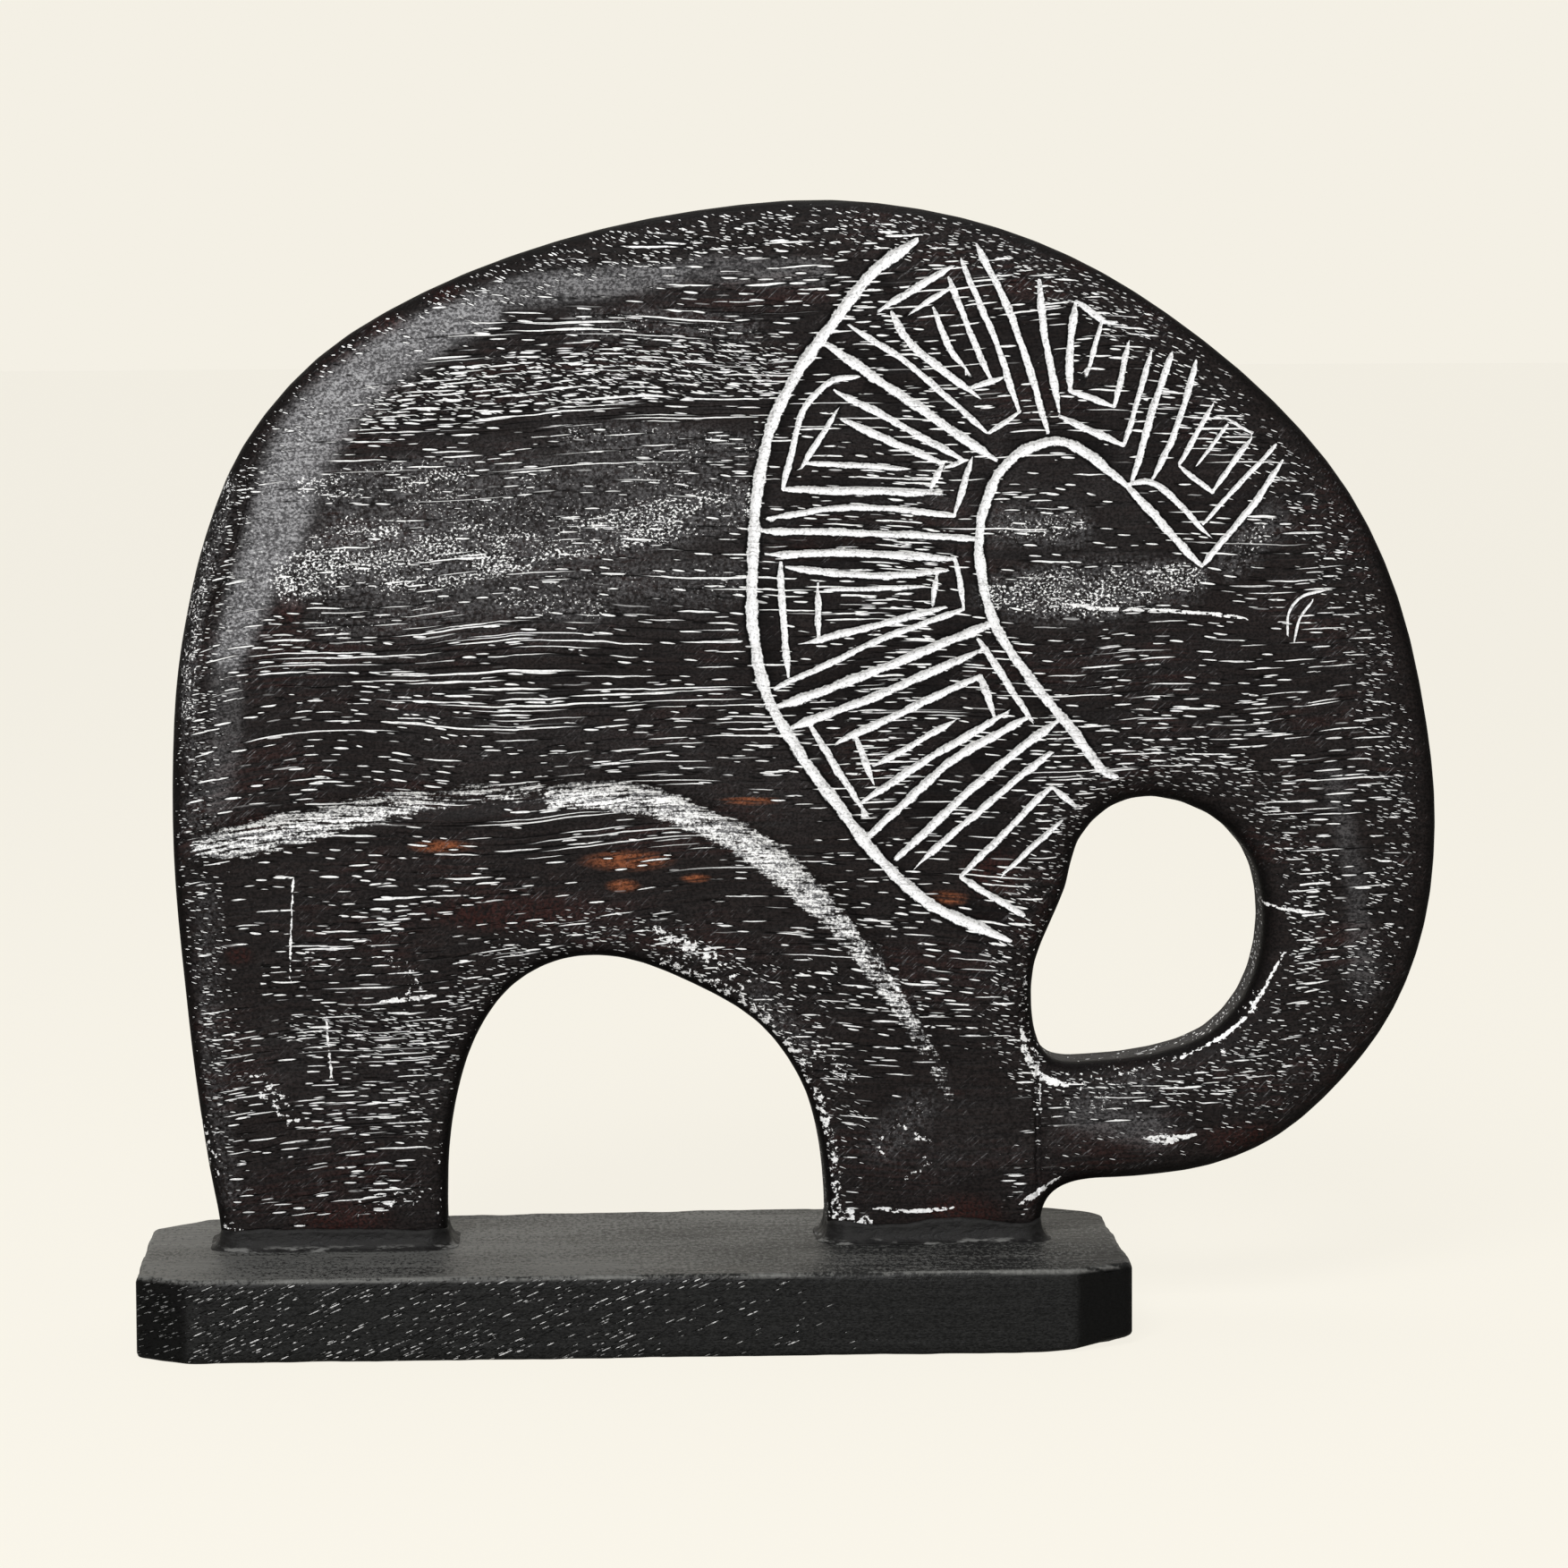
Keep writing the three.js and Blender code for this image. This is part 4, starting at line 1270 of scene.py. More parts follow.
@dataclass
class Carving:
    """Gouge strokes that draw ears, forehead pattern, eyes and trunk seam."""

    step: float = 0.7
    wobble: float = 0.14
    depth_share: float = 0.50
    search_margin: float = 3.0
    strokes: list[Stroke] = field(default_factory=lambda: [
        *EAR_RIMS, *EAR_DIVIDERS, *EAR_UPPER_KEYS, *EAR_MIDDLE_KEYS, *EAR_LOWER_KEYS, *FOREHEAD_KEYS,
        *EYE_ARCS,
    ])
    seams: list[Stroke] = field(default_factory=lambda: [*TRUNK_SEAM, *RIDGE_CRACK])
    chalk_lines: list[Stroke] = field(default_factory=lambda: list(CHALK_LINES))

    def run(self, stroke: Stroke, seed: int) -> tuple[Array, Array]:
        """Centre line and half-widths of one stroke, tapered and slightly unsteady.

        Args:
            stroke: Width and points.
            seed: Picks the unsteadiness.

        Returns:
            Centre points and half-widths.
        """
        width, points = stroke
        centre = spline(points, self.step)
        random = np.random.default_rng(seed)
        travel = np.arange(len(centre)) * self.step
        far = travel[-1] - travel
        first, last = random.uniform(0.25, 0.6, 2)
        taper = np.minimum(first + (1 - first) * np.clip(travel / (1.6 * width), 0, 1),
                           last + (1 - last) * np.clip(far / (2.2 * width), 0, 1))
        phase = random.uniform(0, 2 * math.pi, 3)
        across = left_of(np.gradient(centre, axis=0))
        sway = np.sin(travel / 3.1 + phase[0]) + 0.6 * np.sin(travel / 1.3 + phase[1])
        unsteady = 1 + 0.09 * np.sin(travel / 2.3 + phase[2]) + 0.06 * np.sin(travel / 0.9 + phase[0])
        return centre + across * (self.wobble * 0.5 * sway)[:, None], 0.5 * width * taper * unsteady

    def rows(self) -> Array:
        """Mesh points along and beside every stroke.

        Returns:
            Plane points.
        """
        rows = []
        for seed, stroke in enumerate([*self.strokes, *self.seams, *self.chalk_lines]):
            centre, half = self.run(stroke, seed)
            across = left_of(np.gradient(centre, axis=0))
            rows.append(centre)
            for share, extra in ((0.5, 0.0), (1.0, 0.0), (1.0, 0.35)):
                offset = (share * half + extra)[:, None] * across
                rows.extend([centre + offset, centre - offset])
        return np.vstack(rows)

    def depth(self, points: Array, strokes: list[Stroke], first_seed: int) -> tuple[Array, Array]:
        """How deep the cuts go at each point, and how far inside a cut it lies.

        Args:
            points: Plane points.
            strokes: Strokes to measure.
            first_seed: Seed of the first stroke.

        Returns:
            Depth in millimetres, and closeness: 1 on a centre line, 0 on a cut's edge, below 0
            outside.
        """
        best = np.full(len(points), -2.0)
        deepest = np.zeros(len(points))
        for seed, stroke in enumerate(strokes, first_seed):
            centre, half = self.run(stroke, seed)
            low, high = centre.min(0) - self.search_margin, centre.max(0) + self.search_margin
            near = np.nonzero(((points > low) & (points < high)).all(1))[0]
            if not len(near):
                continue
            gap, room = reach(points[near], centre[:-1], centre[1:], half[:-1], half[1:])
            closeness = 1 - gap / np.maximum(room, 0.12)
            best[near] = np.maximum(best[near], closeness)
            cut = self.depth_share * 2 * room * np.clip(closeness, 0, 1) ** 0.85
            deepest[near] = np.maximum(deepest[near], cut)
        return deepest, best


@dataclass(frozen=True)
class Zone:
    """Soft-edged band of even strength; its line's points are (width, x, z)."""

    strength: float
    line: tuple[Triple, ...]
    softness: float = 0.6

    def cover(self, points: Array) -> Array:
        """Strength of the zone at each plane point."""
        gap, width = band_reach(points, self.line)
        return self.strength * smooth_step(1 - 2 * gap / np.maximum(width, 0.5), 0.0, self.softness)


@dataclass(frozen=True)
class Weathering:
    """Where wax, chalk and rubbing lie on the carved faces, and the grey bevel band that is partly painted
    sheen.
    """

    chalk: tuple[Zone, ...] = (
        Zone(0.88, ((6, -129, 107), (10, -124, 107.5), (11, -112, 110), (9, -95, 114), (8, -82, 116.5)), 0.4),
        Zone(0.74, ((8, -86, 116), (7, -70, 118), (8, -50, 118.5)), 0.5),
        Zone(0.50, ((13, -129, 106), (17, -112, 110), (16, -82, 115.5), (16, -50, 118), (15, -20, 112)), 0.9),
        Zone(0.50, ((15, -20, 112), (14, 2, 97), (12, 16, 81), (10, 30, 60)), 0.9),
        Zone(0.9, ((8, -52, 117), (11, -36, 117), (9, -24, 114.5)), 0.5),
        Zone(0.97, ((7, -28, 114), (10, -12, 108), (11, -1, 100), (9, 6, 93)), 0.45),
        Zone(0.88, ((9, 4, 95), (8, 14, 84), (7, 21, 74), (6, 26, 67)), 0.45),
        Zone(0.75, ((7, 24, 69), (6, 30, 60), (4, 35, 50)), 0.5),
    )
    smear: tuple[Zone, ...] = (
        Zone(0.75, ((8, 10, 25), (9, 16, 21)), 0.6),
        Zone(0.6, ((8, 5, 61), (8, 12, 55)), 0.7),
        Zone(0.7, ((3, 19, 41), (3, 20, 36)), 0.6),
        Zone(0.55, ((10, -27, 85.5), (9, -18, 82), (8, -10, 75)), 0.7),
        Zone(0.80, ((4, -30, 88), (5, -24, 85), (4, -17, 82)), 0.6),
        Zone(0.6, ((8, -87, 81), (9, -82, 75)), 0.6),
        Zone(0.62, ((9, -117, 55), (10, -110, 48)), 0.6),
        Zone(0.6, ((8, -130, 46), (8, -126, 36)), 0.7),
        Zone(0.6, ((7, -124, 23), (7, -118, 20)), 0.7),
        Zone(0.55, ((6, 72, 55), (7, 62, 52), (7, 58, 46)), 0.7),
        Zone(0.55, ((8, 24, 45), (6, 30, 38), (6, 22, 29)), 0.8),
        Zone(0.55, ((9, -96, 27), (9, -82, 30)), 0.8),
        Zone(0.6, ((6, 53, 62), (6, 54, 55)), 0.7),
        Zone(0.55, ((6, 95, 60), (6, 103, 72)), 0.8),
    )
    edge_crumbs: tuple[Zone, ...] = (
        Zone(0.74, ((14, -24, 82), (16, -12, 71), (16, 0, 57), (16, 6, 42), (16, 9, 28), (14, 12, 20)), 0.4),
        Zone(0.42, ((14, -82, 58), (14, -74, 70), (14, -62, 80), (12, -50, 83)), 0.5),
        Zone(0.5, ((10, -80, 24), (10, -80, 44)), 0.5),
        Zone(0.6, ((10, 66, 100), (12, 58, 84), (12, 52, 66)), 0.5),
        Zone(0.55, ((10, 58, 52), (10, 70, 55), (10, 84, 60), (10, 96, 70)), 0.5),
    )
    stipple: tuple[Zone, ...] = (
        Zone(0.95, ((9, -106, 184), (10, -92, 186), (9, -72, 189)), 0.5),
        Zone(1.05, ((14, -109, 165), (22, -98, 169), (22, -76, 170), (14, -58, 171)), 0.5),
        Zone(1.0, ((10, -52, 172), (15, -34, 176), (14, -12, 181)), 0.5),
        Zone(0.7, ((20, -96, 180), (24, -60, 182), (22, -20, 186)), 0.7),
        Zone(0.55, ((14, -100, 156), (16, -60, 162), (16, -14, 164)), 0.8),
        Zone(0.8, ((10, -47, 195), (11, -28, 194), (8, -9, 193)), 0.6),
        Zone(0.8, ((9, -62, 160), (9, -52, 159), (7, -42, 158)), 0.6),
        Zone(0.65, ((9, -45, 220), (10, -26, 220), (8, -9, 219)), 0.6),
        Zone(1.0, ((10, 44, 161), (17, 55, 161), (17, 74, 162), (10, 88, 164)), 0.6),
        Zone(0.75, ((12, 97, 168), (12, 105, 176)), 0.7),
        Zone(0.85, ((12, 47, 176), (12, 62, 175)), 0.7),
        Zone(0.95, ((4, -122, 187), (7, -125.5, 174), (7, -129, 162), (6, -131, 150), (6, -131.5, 136)), 0.6),
        Zone(0.55, ((10, -130, 132), (12, -128, 122), (12, -128, 112)), 0.7),
        Zone(0.42, ((8, -128, 96), (8, -127, 60), (8, -124, 30)), 0.8),
        Zone(0.5, ((12, -122, 146), (14, -116, 166), (14, -110, 188), (13, -96, 206)), 0.7),
        Zone(0.5, ((12, 28, 48), (14, 20, 40)), 0.9),
        Zone(0.5, ((12, -8, 72), (10, 2, 62)), 0.9),
        Zone(0.6, ((9, 64, 48), (11, 78, 52)), 0.8),
    )
    # Grey band along the worn bevel, partly painted sheen where the bevel catches the light; it also hides
    # the pores.
    haze_and_sheen: tuple[Zone, ...] = (
        Zone(0.20, ((6, -125, 116), (9, -123.5, 128), (10, -122.8, 148)), 0.6),
        Zone(1.0, ((9, -122.5, 148), (13, -117, 163.5), (17, -111.5, 176), (18, -107.5, 189),
                   (17, -101.5, 200), (15, -93, 208)), 0.6),
        Zone(0.95, ((15, -93, 208), (14, -85, 214), (12, -76, 219), (10, -66, 223)), 0.6),
        Zone(0.62, ((8, -76, 220), (7, -64, 226), (9, -52, 228), (8, -40, 229), (6, -24, 231)), 0.5),
        Zone(0.30, ((8, -20, 232), (8, 6, 231)), 0.6),
        Zone(0.22, ((9, 62, 46), (12, 80, 42)), 0.7),
        Zone(0.24, ((8, 118, 42), (7, 104, 33), (6, 90, 29)), 0.7),
        Zone(0.16, ((10, 126, 74), (7, 124, 96), (8, 119, 120)), 0.8),
    )
    dash: tuple[Zone, ...] = (
        Zone(1.0, ((16, -91, 201), (18, -70, 205), (18, -40, 209), (16, -4, 211)), 0.4),
        Zone(0.7, ((12, 48, 182), (14, 62, 180)), 0.7),
        Zone(0.80, ((10, -14, 232), (13, 10, 228), (12, 30, 214)), 0.6),
        Zone(0.70, ((16, -60, 96), (18, -90, 92), (16, -112, 78)), 0.7),
        Zone(0.78, ((18, -104, 67), (20, -84, 64)), 0.6),
        Zone(0.75, ((22, -100, 50), (20, -88, 48)), 0.6),
        Zone(0.68, ((14, -98, 32), (12, -90, 30)), 0.7),
        Zone(0.66, ((14, 2, 84), (14, 26, 90)), 0.8),
        Zone(0.70, ((16, 14, 70), (18, 34, 72)), 0.7),
        Zone(0.60, ((30, 60, 125), (34, 86, 128), (26, 104, 136)), 0.6),
        Zone(0.70, ((14, 104, 112), (16, 112, 92), (18, 108, 72)), 0.7),
        Zone(0.75, ((16, 100, 62), (14, 84, 52)), 0.7),
        Zone(0.70, ((24, 20, 120), (30, 24, 170), (26, 30, 200)), 0.7),
        Zone(0.62, ((18, 66, 215), (16, 92, 196)), 0.7),
        Zone(0.38, ((26, -100, 140), (30, -60, 130), (26, -20, 130)), 0.8),
    )
    packed: tuple[Zone, ...] = (
        Zone(0.9, ((11, -90, 203), (13, -70, 206), (14, -40, 209), (12, -6, 211)), 0.4),
        Zone(0.7, ((10, -108, 66), (16, -92, 66), (10, -78, 64)), 0.7),
        Zone(0.6, ((12, -6, 77), (14, 8, 75)), 0.7),
    )
    bare: tuple[Zone, ...] = (
        Zone(1.0, ((44, 30, 28), (40, 36, 46)), 0.5),
        Zone(0.9, ((26, 60, 35), (30, 90, 33), (28, 114, 48), (20, 130, 74)), 0.5),
        Zone(0.7, ((16, -126, 92), (14, -122, 70)), 0.7),
        Zone(0.5, ((14, 72, 178), (10, 66, 184)), 0.6),
        Zone(0.75, ((12, -16, 120), (14, 2, 110)), 0.7),
        Zone(0.8, ((12, -24, 72), (14, -8, 78)), 0.8),
        Zone(0.6, ((12, -100, 176), (16, -60, 178)), 0.9),
        Zone(0.6, ((14, 56, 162), (14, 84, 163)), 0.8),
        Zone(0.6, ((16, -88, 20), (14, -112, 20)), 0.8),
        Zone(0.35, ((26, -72, 98), (26, -32, 96), (20, 0, 90)), 0.9),
    )
    line: tuple[Zone, ...] = (
        Zone(0.85, ((14, -120, 148), (22, -90, 146), (24, -50, 140), (22, -10, 138)), 0.7),
        Zone(0.9, ((9, -100, 158), (10, -60, 153), (9, -14, 154)), 0.6),
        Zone(0.95, ((7, -92, 196), (8, -60, 200), (7, -8, 203)), 0.6),
        Zone(0.95, ((8, -96, 213), (9, -70, 219), (8, -40, 220), (7, -6, 221)), 0.6),
        Zone(0.42, ((14, -110, 124), (16, -60, 124), (12, -20, 122)), 0.8),
        Zone(0.65, ((14, -100, 46), (14, -84, 48)), 0.7),
        Zone(0.5, ((14, -40, 90), (14, 10, 84)), 0.8),
        Zone(0.7, ((14, 30, 184), (12, 10, 186)), 0.7),
        Zone(0.6, ((12, 60, 147), (12, 100, 140)), 0.7),
        Zone(0.7, ((8, 96, 96), (8, 116, 97)), 0.7),
        Zone(0.5, ((12, 14, 160), (12, 30, 150)), 0.7),
    )
    soot: tuple[Zone, ...] = (
        Zone(1.0, ((70, -80, 170), (90, -30, 180)), 0.8),
        Zone(0.7, ((60, 20, 190), (50, 70, 180)), 0.9),
        Zone(0.55, ((40, -110, 60), (40, -80, 50)), 0.9),
        Zone(0.5, ((36, 30, 40), (30, 70, 46)), 0.9),
        Zone(0.5, ((60, -80, 130), (60, 0, 120)), 0.9),
    )

    wall: dict[str, float] = field(default_factory=lambda: {
        "chalk": 0.0, "smear": 0.2, "stipple": 0.4, "haze_and_sheen": 0.10, "dash": 0.34, "line": 0.15, "dot": 0.30,
        "soot": 0.5, "rim": 9.0,
    })

    dash_base: float = 0.27
    line_base: float = 0.10
    soot_base: float = 0.24
    haze_and_sheen_cover: float = 0.7
    haze_and_sheen_gain: float = 1.2

    def strongest(self, zones: tuple[Zone, ...], points: Array, base: float = 0.0) -> Array:
        """Strongest zone at each point, over a base level."""
        return np.maximum.reduce([np.full(len(points), base), *(zone.cover(points) for zone in zones)])

    def dots(self, points: Array, rim: Array) -> Array:
        """Strength of the dots that follow the outline, and of the closely packed ones.

        Args:
            points: Plane points.
            rim: Distance from the outline.

        Returns:
            One strength for each point.
        """
        x, z = points[:, 0], points[:, 1]
        right, upper = smooth_step(x, 60.0, 110.0), smooth_step(z, 195.0, 222.0)
        inner = 3.0 * right * (1 - upper)
        band = smooth_step(rim, 0.7 + inner, 2.0 + inner)
        band *= 1 - smooth_step(rim, 9.0 + 4.0 * right, 13.0 + 5.0 * right)
        band *= np.maximum(0.55 * (1 - upper), 0.85 * upper) * smooth_step(z, 22.0, 60.0)
        return np.clip(np.maximum(band * self.clear_of_haze_and_sheen(points), self.strongest(self.packed, points)), 0, 1)

    def clear_of_haze_and_sheen(self, points: Array) -> Array:
        """How far the grey band of painted sheen leaves the pores open: 1 where there is none."""
        return 1 - self.haze_and_sheen_cover * np.clip(self.strongest(self.haze_and_sheen, points) * self.haze_and_sheen_gain, 0, 1)

    def values(self, points: Array, rim: Array) -> dict[str, Array]:
        """All wear fields of the carved faces.

        Args:
            points: Plane points.
            rim: Distance from the outline.

        Returns:
            Point values by name.
        """
        right = smooth_step(points[:, 0], 60.0, 110.0)
        flat = smooth_step(rim, 2.5 + 3.5 * right, 5.0 + 5.0 * right)
        open_pores = (1 - self.strongest(self.bare, points)) * flat * self.clear_of_haze_and_sheen(points)
        crumbs = self.strongest(self.edge_crumbs, points) * smooth_step(rim, 0.4, 1.3)
        crumbs *= 1 - smooth_step(rim, 2.6, 4.8)
        return {
            "chalk": self.strongest(self.chalk, points),
            "smear": np.maximum(self.strongest(self.smear, points), crumbs),
            "stipple": self.strongest(self.stipple, points),
            "haze_and_sheen": self.strongest(self.haze_and_sheen, points),
            "dash": self.strongest(self.dash, points, self.dash_base) * open_pores,
            "line": self.strongest(self.line, points, self.line_base) * open_pores,
            "dot": self.dots(points, rim),
            "soot": self.strongest(self.soot, points, self.soot_base),
            "rim": np.clip(rim, 0, RIM_LIMIT),
        }


@dataclass
class ElephantBody:
    """The one-piece carved slab with legs, ears, head and trunk."""

    edge_round: float = 4.6
    facet_slope: float = 0.15
    ridge_slope: float = 0.26
    crown: float = 0.6
    crown_fade: float = 24.0
    hollow_depth: float = 1.9
    leg_recess: float = 0.8
    seam_depth: float = 1.6
    outline_step: float = 1.1
    outline_softness: float = 1.0
    least_loop: float = 400.0
    rings: tuple[float, ...] = (0.2, 0.6, 1.2, 2.0, 3.0, 4.2, 5.6, 7.2)
    grid_pitch: float = 1.75
    wall_rows: int = 7
    tool_marks: float = 0.14
    front_seed: int = 11
    back_seed: int = 37
    cut_aside: float = 4.0
    carving: Carving = field(default_factory=Carving)
    weathering: Weathering = field(default_factory=Weathering)

    def hollow(self, points: Array) -> Array:
        """Closeness to the belly hollow's middle line, 1 on it and 0 at its edges."""
        gap, width = band_reach(points, BELLY_HOLLOW)
        return np.clip(1 - gap / (0.5 * np.maximum(width, 1.0)), 0, 1)

    def below_hollow(self, points: Array) -> Array:
        """Smooth flag for the legs, which lie lower than belly and head.

        Args:
            points: Plane points.

        Returns:
            1 on the legs, 0 above the hollow.
        """
        line = band_line(BELLY_HOLLOW)
        limit = np.interp(points[:, 0], line[:, 0], line[:, 1], right=-50.0)
        return smooth_step(limit - points[:, 1], 0.0, 7.0)

    def bevel(self, points: Array, rim: Array) -> Array:
        """Worn facet round rump and back: a wide shallow slope, then a steeper one past a ridge.

        Args:
            points: Plane points.
            rim: Distance from the outline.

        Returns:
            Inset of each point in millimetres.
        """
        x, z = points[:, 0], points[:, 1]
        rear = smooth_step(-x, 40.0, 112.0) * smooth_step(z, 92.0, 135.0)
        upper = smooth_step(z, 150.0, 205.0)
        strength = np.clip(np.maximum(rear, 0.7 * upper), 0.22, 1.0) * smooth_step(z, 25.0, 60.0)
        wide, steep = 9.5 + 10.0 * rear, 5.0 + 3.0 * rear
        slope = self.facet_slope * np.clip(wide - rim, 0, None)
        return strength * (slope + self.ridge_slope * np.clip(steep - rim, 0, None))

    def inset(self, sheet: Sheet, seed: int) -> Array:
        """How far the carved skin lies inside the slab's face plane.

        Args:
            sheet: The plane mesh.
            seed: Picks the tool marks of this side.

        Returns:
            Inset of each point in millimetres.
        """
        points, rim = sheet.points, sheet.rim
        right = smooth_step(points[:, 0], 20.0, 80.0)
        fall = 1 - np.clip(rim / (self.edge_round + 3.2 * right), 0, 1)
        inset = self.edge_round * (1 - np.sqrt(np.clip(1 - fall**2, 0, 1)))
        inset += self.bevel(points, rim)
        inset += self.crown * np.exp(-rim / self.crown_fade)
        inset += self.hollow_depth * smooth_step(self.hollow(points), 0.0, 1.0) * smooth_step(rim, 0.0, 3.0)
        inset += self.leg_recess * self.below_hollow(points) * smooth_step(rim, 0.0, 4.0)
        uneven = ripple(points, 26.0, seed) + 0.5 * ripple(points, 9.0, seed + 1)
        inset += self.tool_marks * uneven * smooth_step(rim, 0.0, 5.0)
        cuts, _ = self.carving.depth(points, self.carving.strokes, 0)
        seams, _ = self.carving.depth(points, self.carving.seams, len(self.carving.strokes))
        return inset + np.maximum(cuts, self.seam_depth * seams)

    def wear(self, sheet: Sheet) -> dict[str, Array]:
        """Point values that the wood material reads.

        Args:
            sheet: The plane mesh.

        Returns:
            Values by name.
        """
        carving = self.carving
        _, paint = carving.depth(sheet.points, carving.strokes, 0)
        first = len(carving.strokes) + len(carving.seams)
        _, lines = carving.depth(sheet.points, carving.chalk_lines, first)
        wear = self.weathering.values(sheet.points, sheet.rim)
        wear["smear"] = np.maximum(wear["smear"], 0.95 * smooth_step(lines, -0.3, 0.5))
        return {"paint": np.clip(paint, -2, 1), **wear}

    def build(self) -> bpy.types.Object:
        """Makes the carved body and puts it in place of its CAD node.

        Returns:
            The body object.
        """
        low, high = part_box("elephant_body")
        middle, half = (low.y + high.y) / 2 / MM, (high.y - low.y) / 2 / MM
        cut = node_loops("elephant_body", 1, middle + self.cut_aside)
        loops = [even_loop(loop, self.outline_step, self.outline_softness)
                 for loop in cut if abs(area(loop)) > self.least_loop]
        sheet = Sheet.fill(loops, self.rings, self.grid_pitch, self.carving.rows())
        front = -half + self.inset(sheet, self.front_seed)
        back = half - self.inset(sheet, self.back_seed)
        slab = Slab(sheet, front, back, self.wall_rows,
                    lambda flat, level: np.stack([flat[:, 0], middle + level, flat[:, 1]], axis=1),
                    self.weathering.wall)
        body = slab.build("carved_body", self.wear(sheet))
        dress(body, CharredWood().build())
        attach(body, ROOT)
        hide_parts("elephant_body")
        LOG.info("carved body: %d faces", len(body.data.polygons))
        return body


@dataclass
class Plinth:
    """The board that the elephant stands on."""

    edge_round: float = 1.3
    least_wear: float = 0.5
    most_wear: float = 2.4
    outline_step: float = 1.2
    outline_softness: float = 0.8
    hole_step: float = 0.9
    hole_softness: float = 0.01
    rings: tuple[float, ...] = (0.25, 0.6, 1.1, 1.8, 2.8)
    grid_pitch: float = 2.6
    wall_rows: int = 8
    corner_wear: float = 1.8
    head_radius: float = 4.6
    head_floor: float = 1.5

    def head_points(self, centres: list[Array]) -> Array:
        """Mesh points round each screw head's countersink.

        Args:
            centres: Centres of the holes.

        Returns:
            Plane points.
        """
        angles = np.linspace(0, 2 * math.pi, 30, endpoint=False)
        turns = np.stack([np.cos(angles), np.sin(angles)], axis=1)
        radii = (3.1, 3.9, self.head_radius - 0.05, self.head_radius + 0.2, 6.0)
        return np.vstack([centre + radius * turns for centre in centres for radius in radii])

    def build(self) -> bpy.types.Object:
        """Makes the plinth with worn edges and countersunk screw holes.

        Returns:
            The plinth object.
        """
        low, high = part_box("plinth")
        height = (high.z - low.z) / MM
        cut = node_loops("plinth", 2, height / 2)
        outer = even_loop(cut[0], self.outline_step, self.outline_softness)
        holes = [even_loop(loop, self.hole_step, self.hole_softness) for loop in cut[1:]]
        centres = [hole.mean(0) for hole in holes]
        sheet = Sheet.fill([outer, *holes], self.rings, self.grid_pitch, self.head_points(centres))
        points, rim = sheet.points, loop_reach(sheet.points, [outer])
        wear = self.edge_round * (1 + 0.35 * ripple(points, 22.0, 5) + 0.2 * ripple(points, 6.0, 6))
        wear = np.clip(wear, self.least_wear, self.most_wear)
        fall = 1 - np.clip(rim / wear, 0, 1)
        soft = wear * (1 - np.sqrt(np.clip(1 - fall**2, 0, 1)))
        top = soft + 0.10 * (1 + ripple(points, 30.0, 8)) * smooth_step(rim, 0.0, 4.0)
        worn_corner = smooth_step(points[:, 0], 50.0, 71.0) * smooth_step(-rim, -7.0, 0.0)
        bottom = height - 0.7 * soft - self.corner_wear * worn_corner
        for centre in centres:
            away = np.linalg.norm(points - centre, axis=1)
            sunk = self.head_floor + self.head_radius - away
            bottom = np.where(away < self.head_radius, height - sunk, bottom)
        slab = Slab(sheet, top, bottom, self.wall_rows,
                    lambda flat, level: np.stack([flat[:, 0], flat[:, 1], height - level], axis=1))
        board = slab.build("plinth_board", {"rim": np.clip(rim, 0, RIM_LIMIT)})
        dress(board, PlinthPaint().build())
        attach(board, ROOT)
        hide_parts("plinth")
        LOG.info("plinth: %d faces", len(board.data.polygons))
        return board


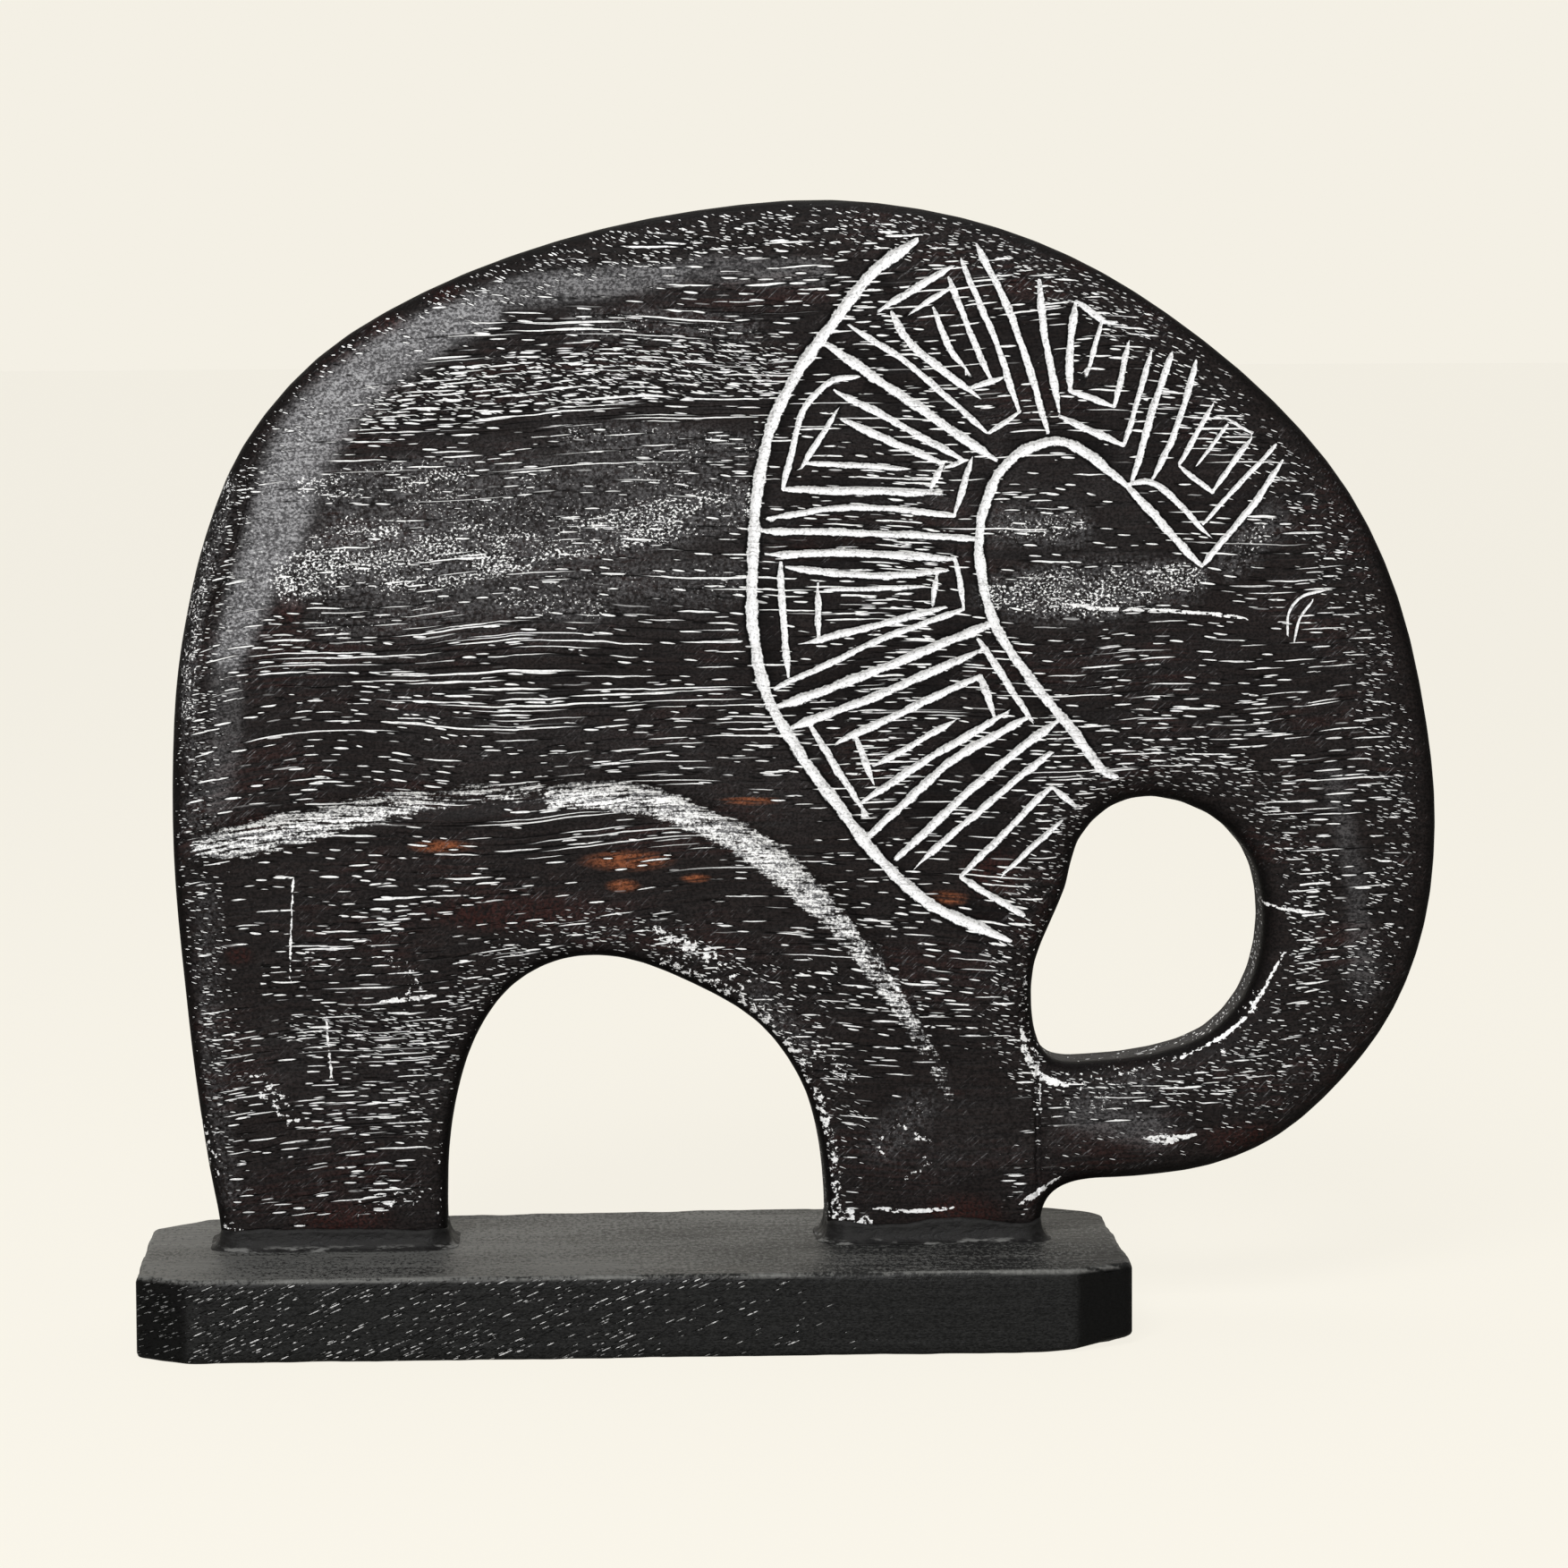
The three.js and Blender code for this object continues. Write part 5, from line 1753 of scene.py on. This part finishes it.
@dataclass
class FootFillet:
    """Hand-smeared bead of putty round one foot."""

    node: str
    name: str
    seed: int
    clearance: float = 3.3
    corner: float = 4.6
    spread: float = 2.1
    height: float = 4.4
    step: float = 0.9
    sunk: float = 0.25
    tucked: float = 0.8
    gap: float = 0.02

    def loop(self) -> tuple[Array, Array]:
        """Foot outline as a rounded rectangle.

        Returns:
            Points and outward normals.
        """
        low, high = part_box(self.node)
        inner = np.array([high.x - low.x, high.y - low.y]) / 2 / MM - self.clearance - self.corner
        middle = np.array([low.x + high.x, low.y + high.y]) / 2 / MM
        rows = []
        for side, start in (((1, 1), 0), ((-1, 1), 90), ((-1, -1), 180), ((1, -1), 270)):
            for angle in np.radians(start + np.linspace(0, 90, 9)):
                normal = np.array([math.cos(angle), math.sin(angle)])
                rows.append(np.hstack([middle + side * inner + self.corner * normal, normal]))
        dense = resample(np.array([*rows, rows[0]]), self.step)[:-1]
        return dense[:, :2], dense[:, 2:] / np.linalg.norm(dense[:, 2:], axis=1, keepdims=True)

    def section(self) -> list[Triple]:
        """Concave section: fixed offset, share of the spread, and share of the rise or fixed level.

        Returns:
            Rows in order round the section; a level of 0 or less is in millimetres.
        """
        curve = [(self.gap, 1 - math.sin(t), 1 - math.cos(t)) for t in np.linspace(0.16, 1.38, 8)]
        foot = [(-self.tucked, 0.0, -self.sunk), (self.gap, 1.0, -self.sunk), (self.gap, 1.0, 0.02)]
        return [*foot, *curve, (self.gap, 0.0, 1.0), (-self.tucked, 0.0, 1.02)]

    def build(self, finish: bpy.types.Material) -> bpy.types.Object:
        """Makes the bead in place of its CAD node.

        Args:
            finish: The putty material.

        Returns:
            The bead object.
        """
        points, normals = self.loop()
        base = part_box("plinth")[1].z / MM
        broad, fine, slow, quick = (
            ripple(points, length, self.seed + k) for k, length in enumerate((18.0, 5.0, 18.0, 6.0)))
        width = self.spread * (1 + 0.14 * broad + 0.05 * fine)
        rise = self.height * (1 + 0.12 * slow + 0.04 * quick)
        rings = []
        for fixed, out, up in self.section():
            level = base + (up * rise if up > 0 else np.full(len(points), up))
            rings.append(np.column_stack([points + normals * (fixed + out * width)[:, None], level]))
        count, size = len(points), len(rings)
        faces = []
        for i in range(size):
            here, above = i * count, (i + 1) % size * count
            faces.extend((here + k, here + n, above + n, above + k)
                         for k, n in zip(range(count), [*range(1, count), 0]))
        bead = add_object(self.name, np.vstack(rings), faces)
        dress(bead, finish)
        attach(bead, ROOT)
        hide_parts(self.node)
        LOG.info("%s: %d faces", self.name, len(bead.data.polygons))
        return bead


@dataclass
class Screws:
    """The four countersunk screws, kept as the CAD solids."""

    names: tuple[str, ...] = (
        "screw_hind_outer", "screw_hind_inner", "screw_front_inner", "screw_front_outer",
    )

    def dress(self) -> None:
        """Gives every screw its plated steel."""
        steel = PlatedSteel().build()
        for name in self.names:
            dress(frame["nodes"][name], steel)
            LOG.info("%s: CAD solid kept", name)


@dataclass
class Studio:
    """Pale floor, soft light and the camera."""

    backdrop: Triple = (0.905, 0.871, 0.783)
    floor_radius: float = 14.0
    floor_sides: int = 96
    paper: float = 0.08
    floor_glow: float = 0.30
    front_light: float = 0.15
    aim: Triple = (0.0, 0.0, 0.13)
    eye: Triple = (-0.061, -1.3037, 0.2303)
    pan: float = 2.62
    tilt: float = 4.87
    roll: float = 0.31
    lens: float = 136.9
    sensor: float = 36.0

    def floor(self) -> None:
        """Wide plain floor under the plinth, as bright as the surroundings."""
        turns = np.linspace(0, 2 * math.pi, self.floor_sides, endpoint=False)
        ring = np.stack([np.cos(turns), np.sin(turns), np.zeros(self.floor_sides)], axis=1)
        ground = add_object("floor", ring * self.floor_radius / MM, [list(range(self.floor_sides))])
        g = Graph.start("floor_paper")
        shader = g.node("BsdfPrincipled", (*[self.paper * c for c in self.backdrop], 1.0))
        for name, value in (("Roughness", 0.9), ("Specular IOR Level", 0.0),
                            ("Emission Color", (*self.backdrop, 1.0))):
            shader.inputs[name].default_value = value
        seen = g.node("LightPath").outputs["Is Camera Ray"]
        glow = g.span(seen, 0.0, 1.0, self.floor_glow, 1.0 - 0.5 * self.paper)
        g.feed(shader.inputs["Emission Strength"], glow)
        g.node("OutputMaterial", shader.outputs[0])
        dress(ground, g.owner)

    def surroundings(self) -> None:
        """Even pale surroundings; the light they give comes mostly from behind and above."""
        world = bpy.data.worlds.new("studio")
        bpy.context.scene.world = world
        world.use_nodes = True
        g = Graph(world)
        background = world.node_tree.nodes["Background"]
        background.inputs["Color"].default_value = (*self.backdrop, 1.0)
        behind = g.axis(g.node("TexCoord").outputs["Generated"], "Y")
        light = g.span(behind, 0.5, 0.95, self.front_light, 1.0, eased=False)
        seen = g.node("LightPath").outputs["Is Camera Ray"]
        g.feed(background.inputs["Strength"], g.most(seen, light))

    def lamp(self, name: str, place: Triple, power: float, size: float) -> None:
        """Soft square area light that faces the object.

        Args:
            name: Light name.
            place: Where it hangs.
            power: Watts.
            size: Side length in metres.
        """
        data = bpy.data.lights.new(name, "AREA")
        data.energy, data.size = power, size
        lamp = bpy.data.objects.new(name, data)
        lamp.location = place
        lamp.rotation_mode = "QUATERNION"
        lamp.rotation_quaternion = (Vector(self.aim) - Vector(place)).to_track_quat("-Z", "Y")
        bpy.context.scene.collection.objects.link(lamp)

    def camera(self) -> None:
        """Camera in front, a little left of the middle, level with the back."""
        data = bpy.data.cameras.new("camera")
        data.lens, data.sensor_width = self.lens, self.sensor
        data.clip_start, data.clip_end = 0.05, 60.0
        viewer = bpy.data.objects.new("camera", data)
        turn = Matrix.Rotation(-math.radians(self.pan), 4, "Z")
        lean = Matrix.Rotation(math.radians(90 - self.tilt), 4, "X")
        spin = Matrix.Rotation(-math.radians(self.roll), 4, "Z")
        viewer.matrix_world = Matrix.Translation(Vector(self.eye)) @ turn @ lean @ spin
        bpy.context.scene.collection.objects.link(viewer)
        bpy.context.scene.camera = viewer

    def build(self) -> None:
        """Sets the whole studio."""
        bpy.context.scene.view_settings.view_transform = "Standard"
        self.floor()
        self.surroundings()
        self.lamp("key", (-0.30, -1.40, 1.10), 34.0, 0.7)
        self.lamp("top", (0.1, 0.5, 1.4), 5.0, 0.8)
        self.camera()
        LOG.info("studio: floor, surroundings, two lamps, camera")


def main() -> None:
    """Builds every sub-assembly in order."""
    ElephantBody().build()
    Plinth().build()
    putty = PaintedPutty().build()
    FootFillet("hind_foot_fillet", "hind_foot_bead", 3).build(putty)
    FootFillet("front_foot_fillet", "front_foot_bead", 9).build(putty)
    Screws().dress()
    Studio().build()


if __name__ == "__main__":
    main()
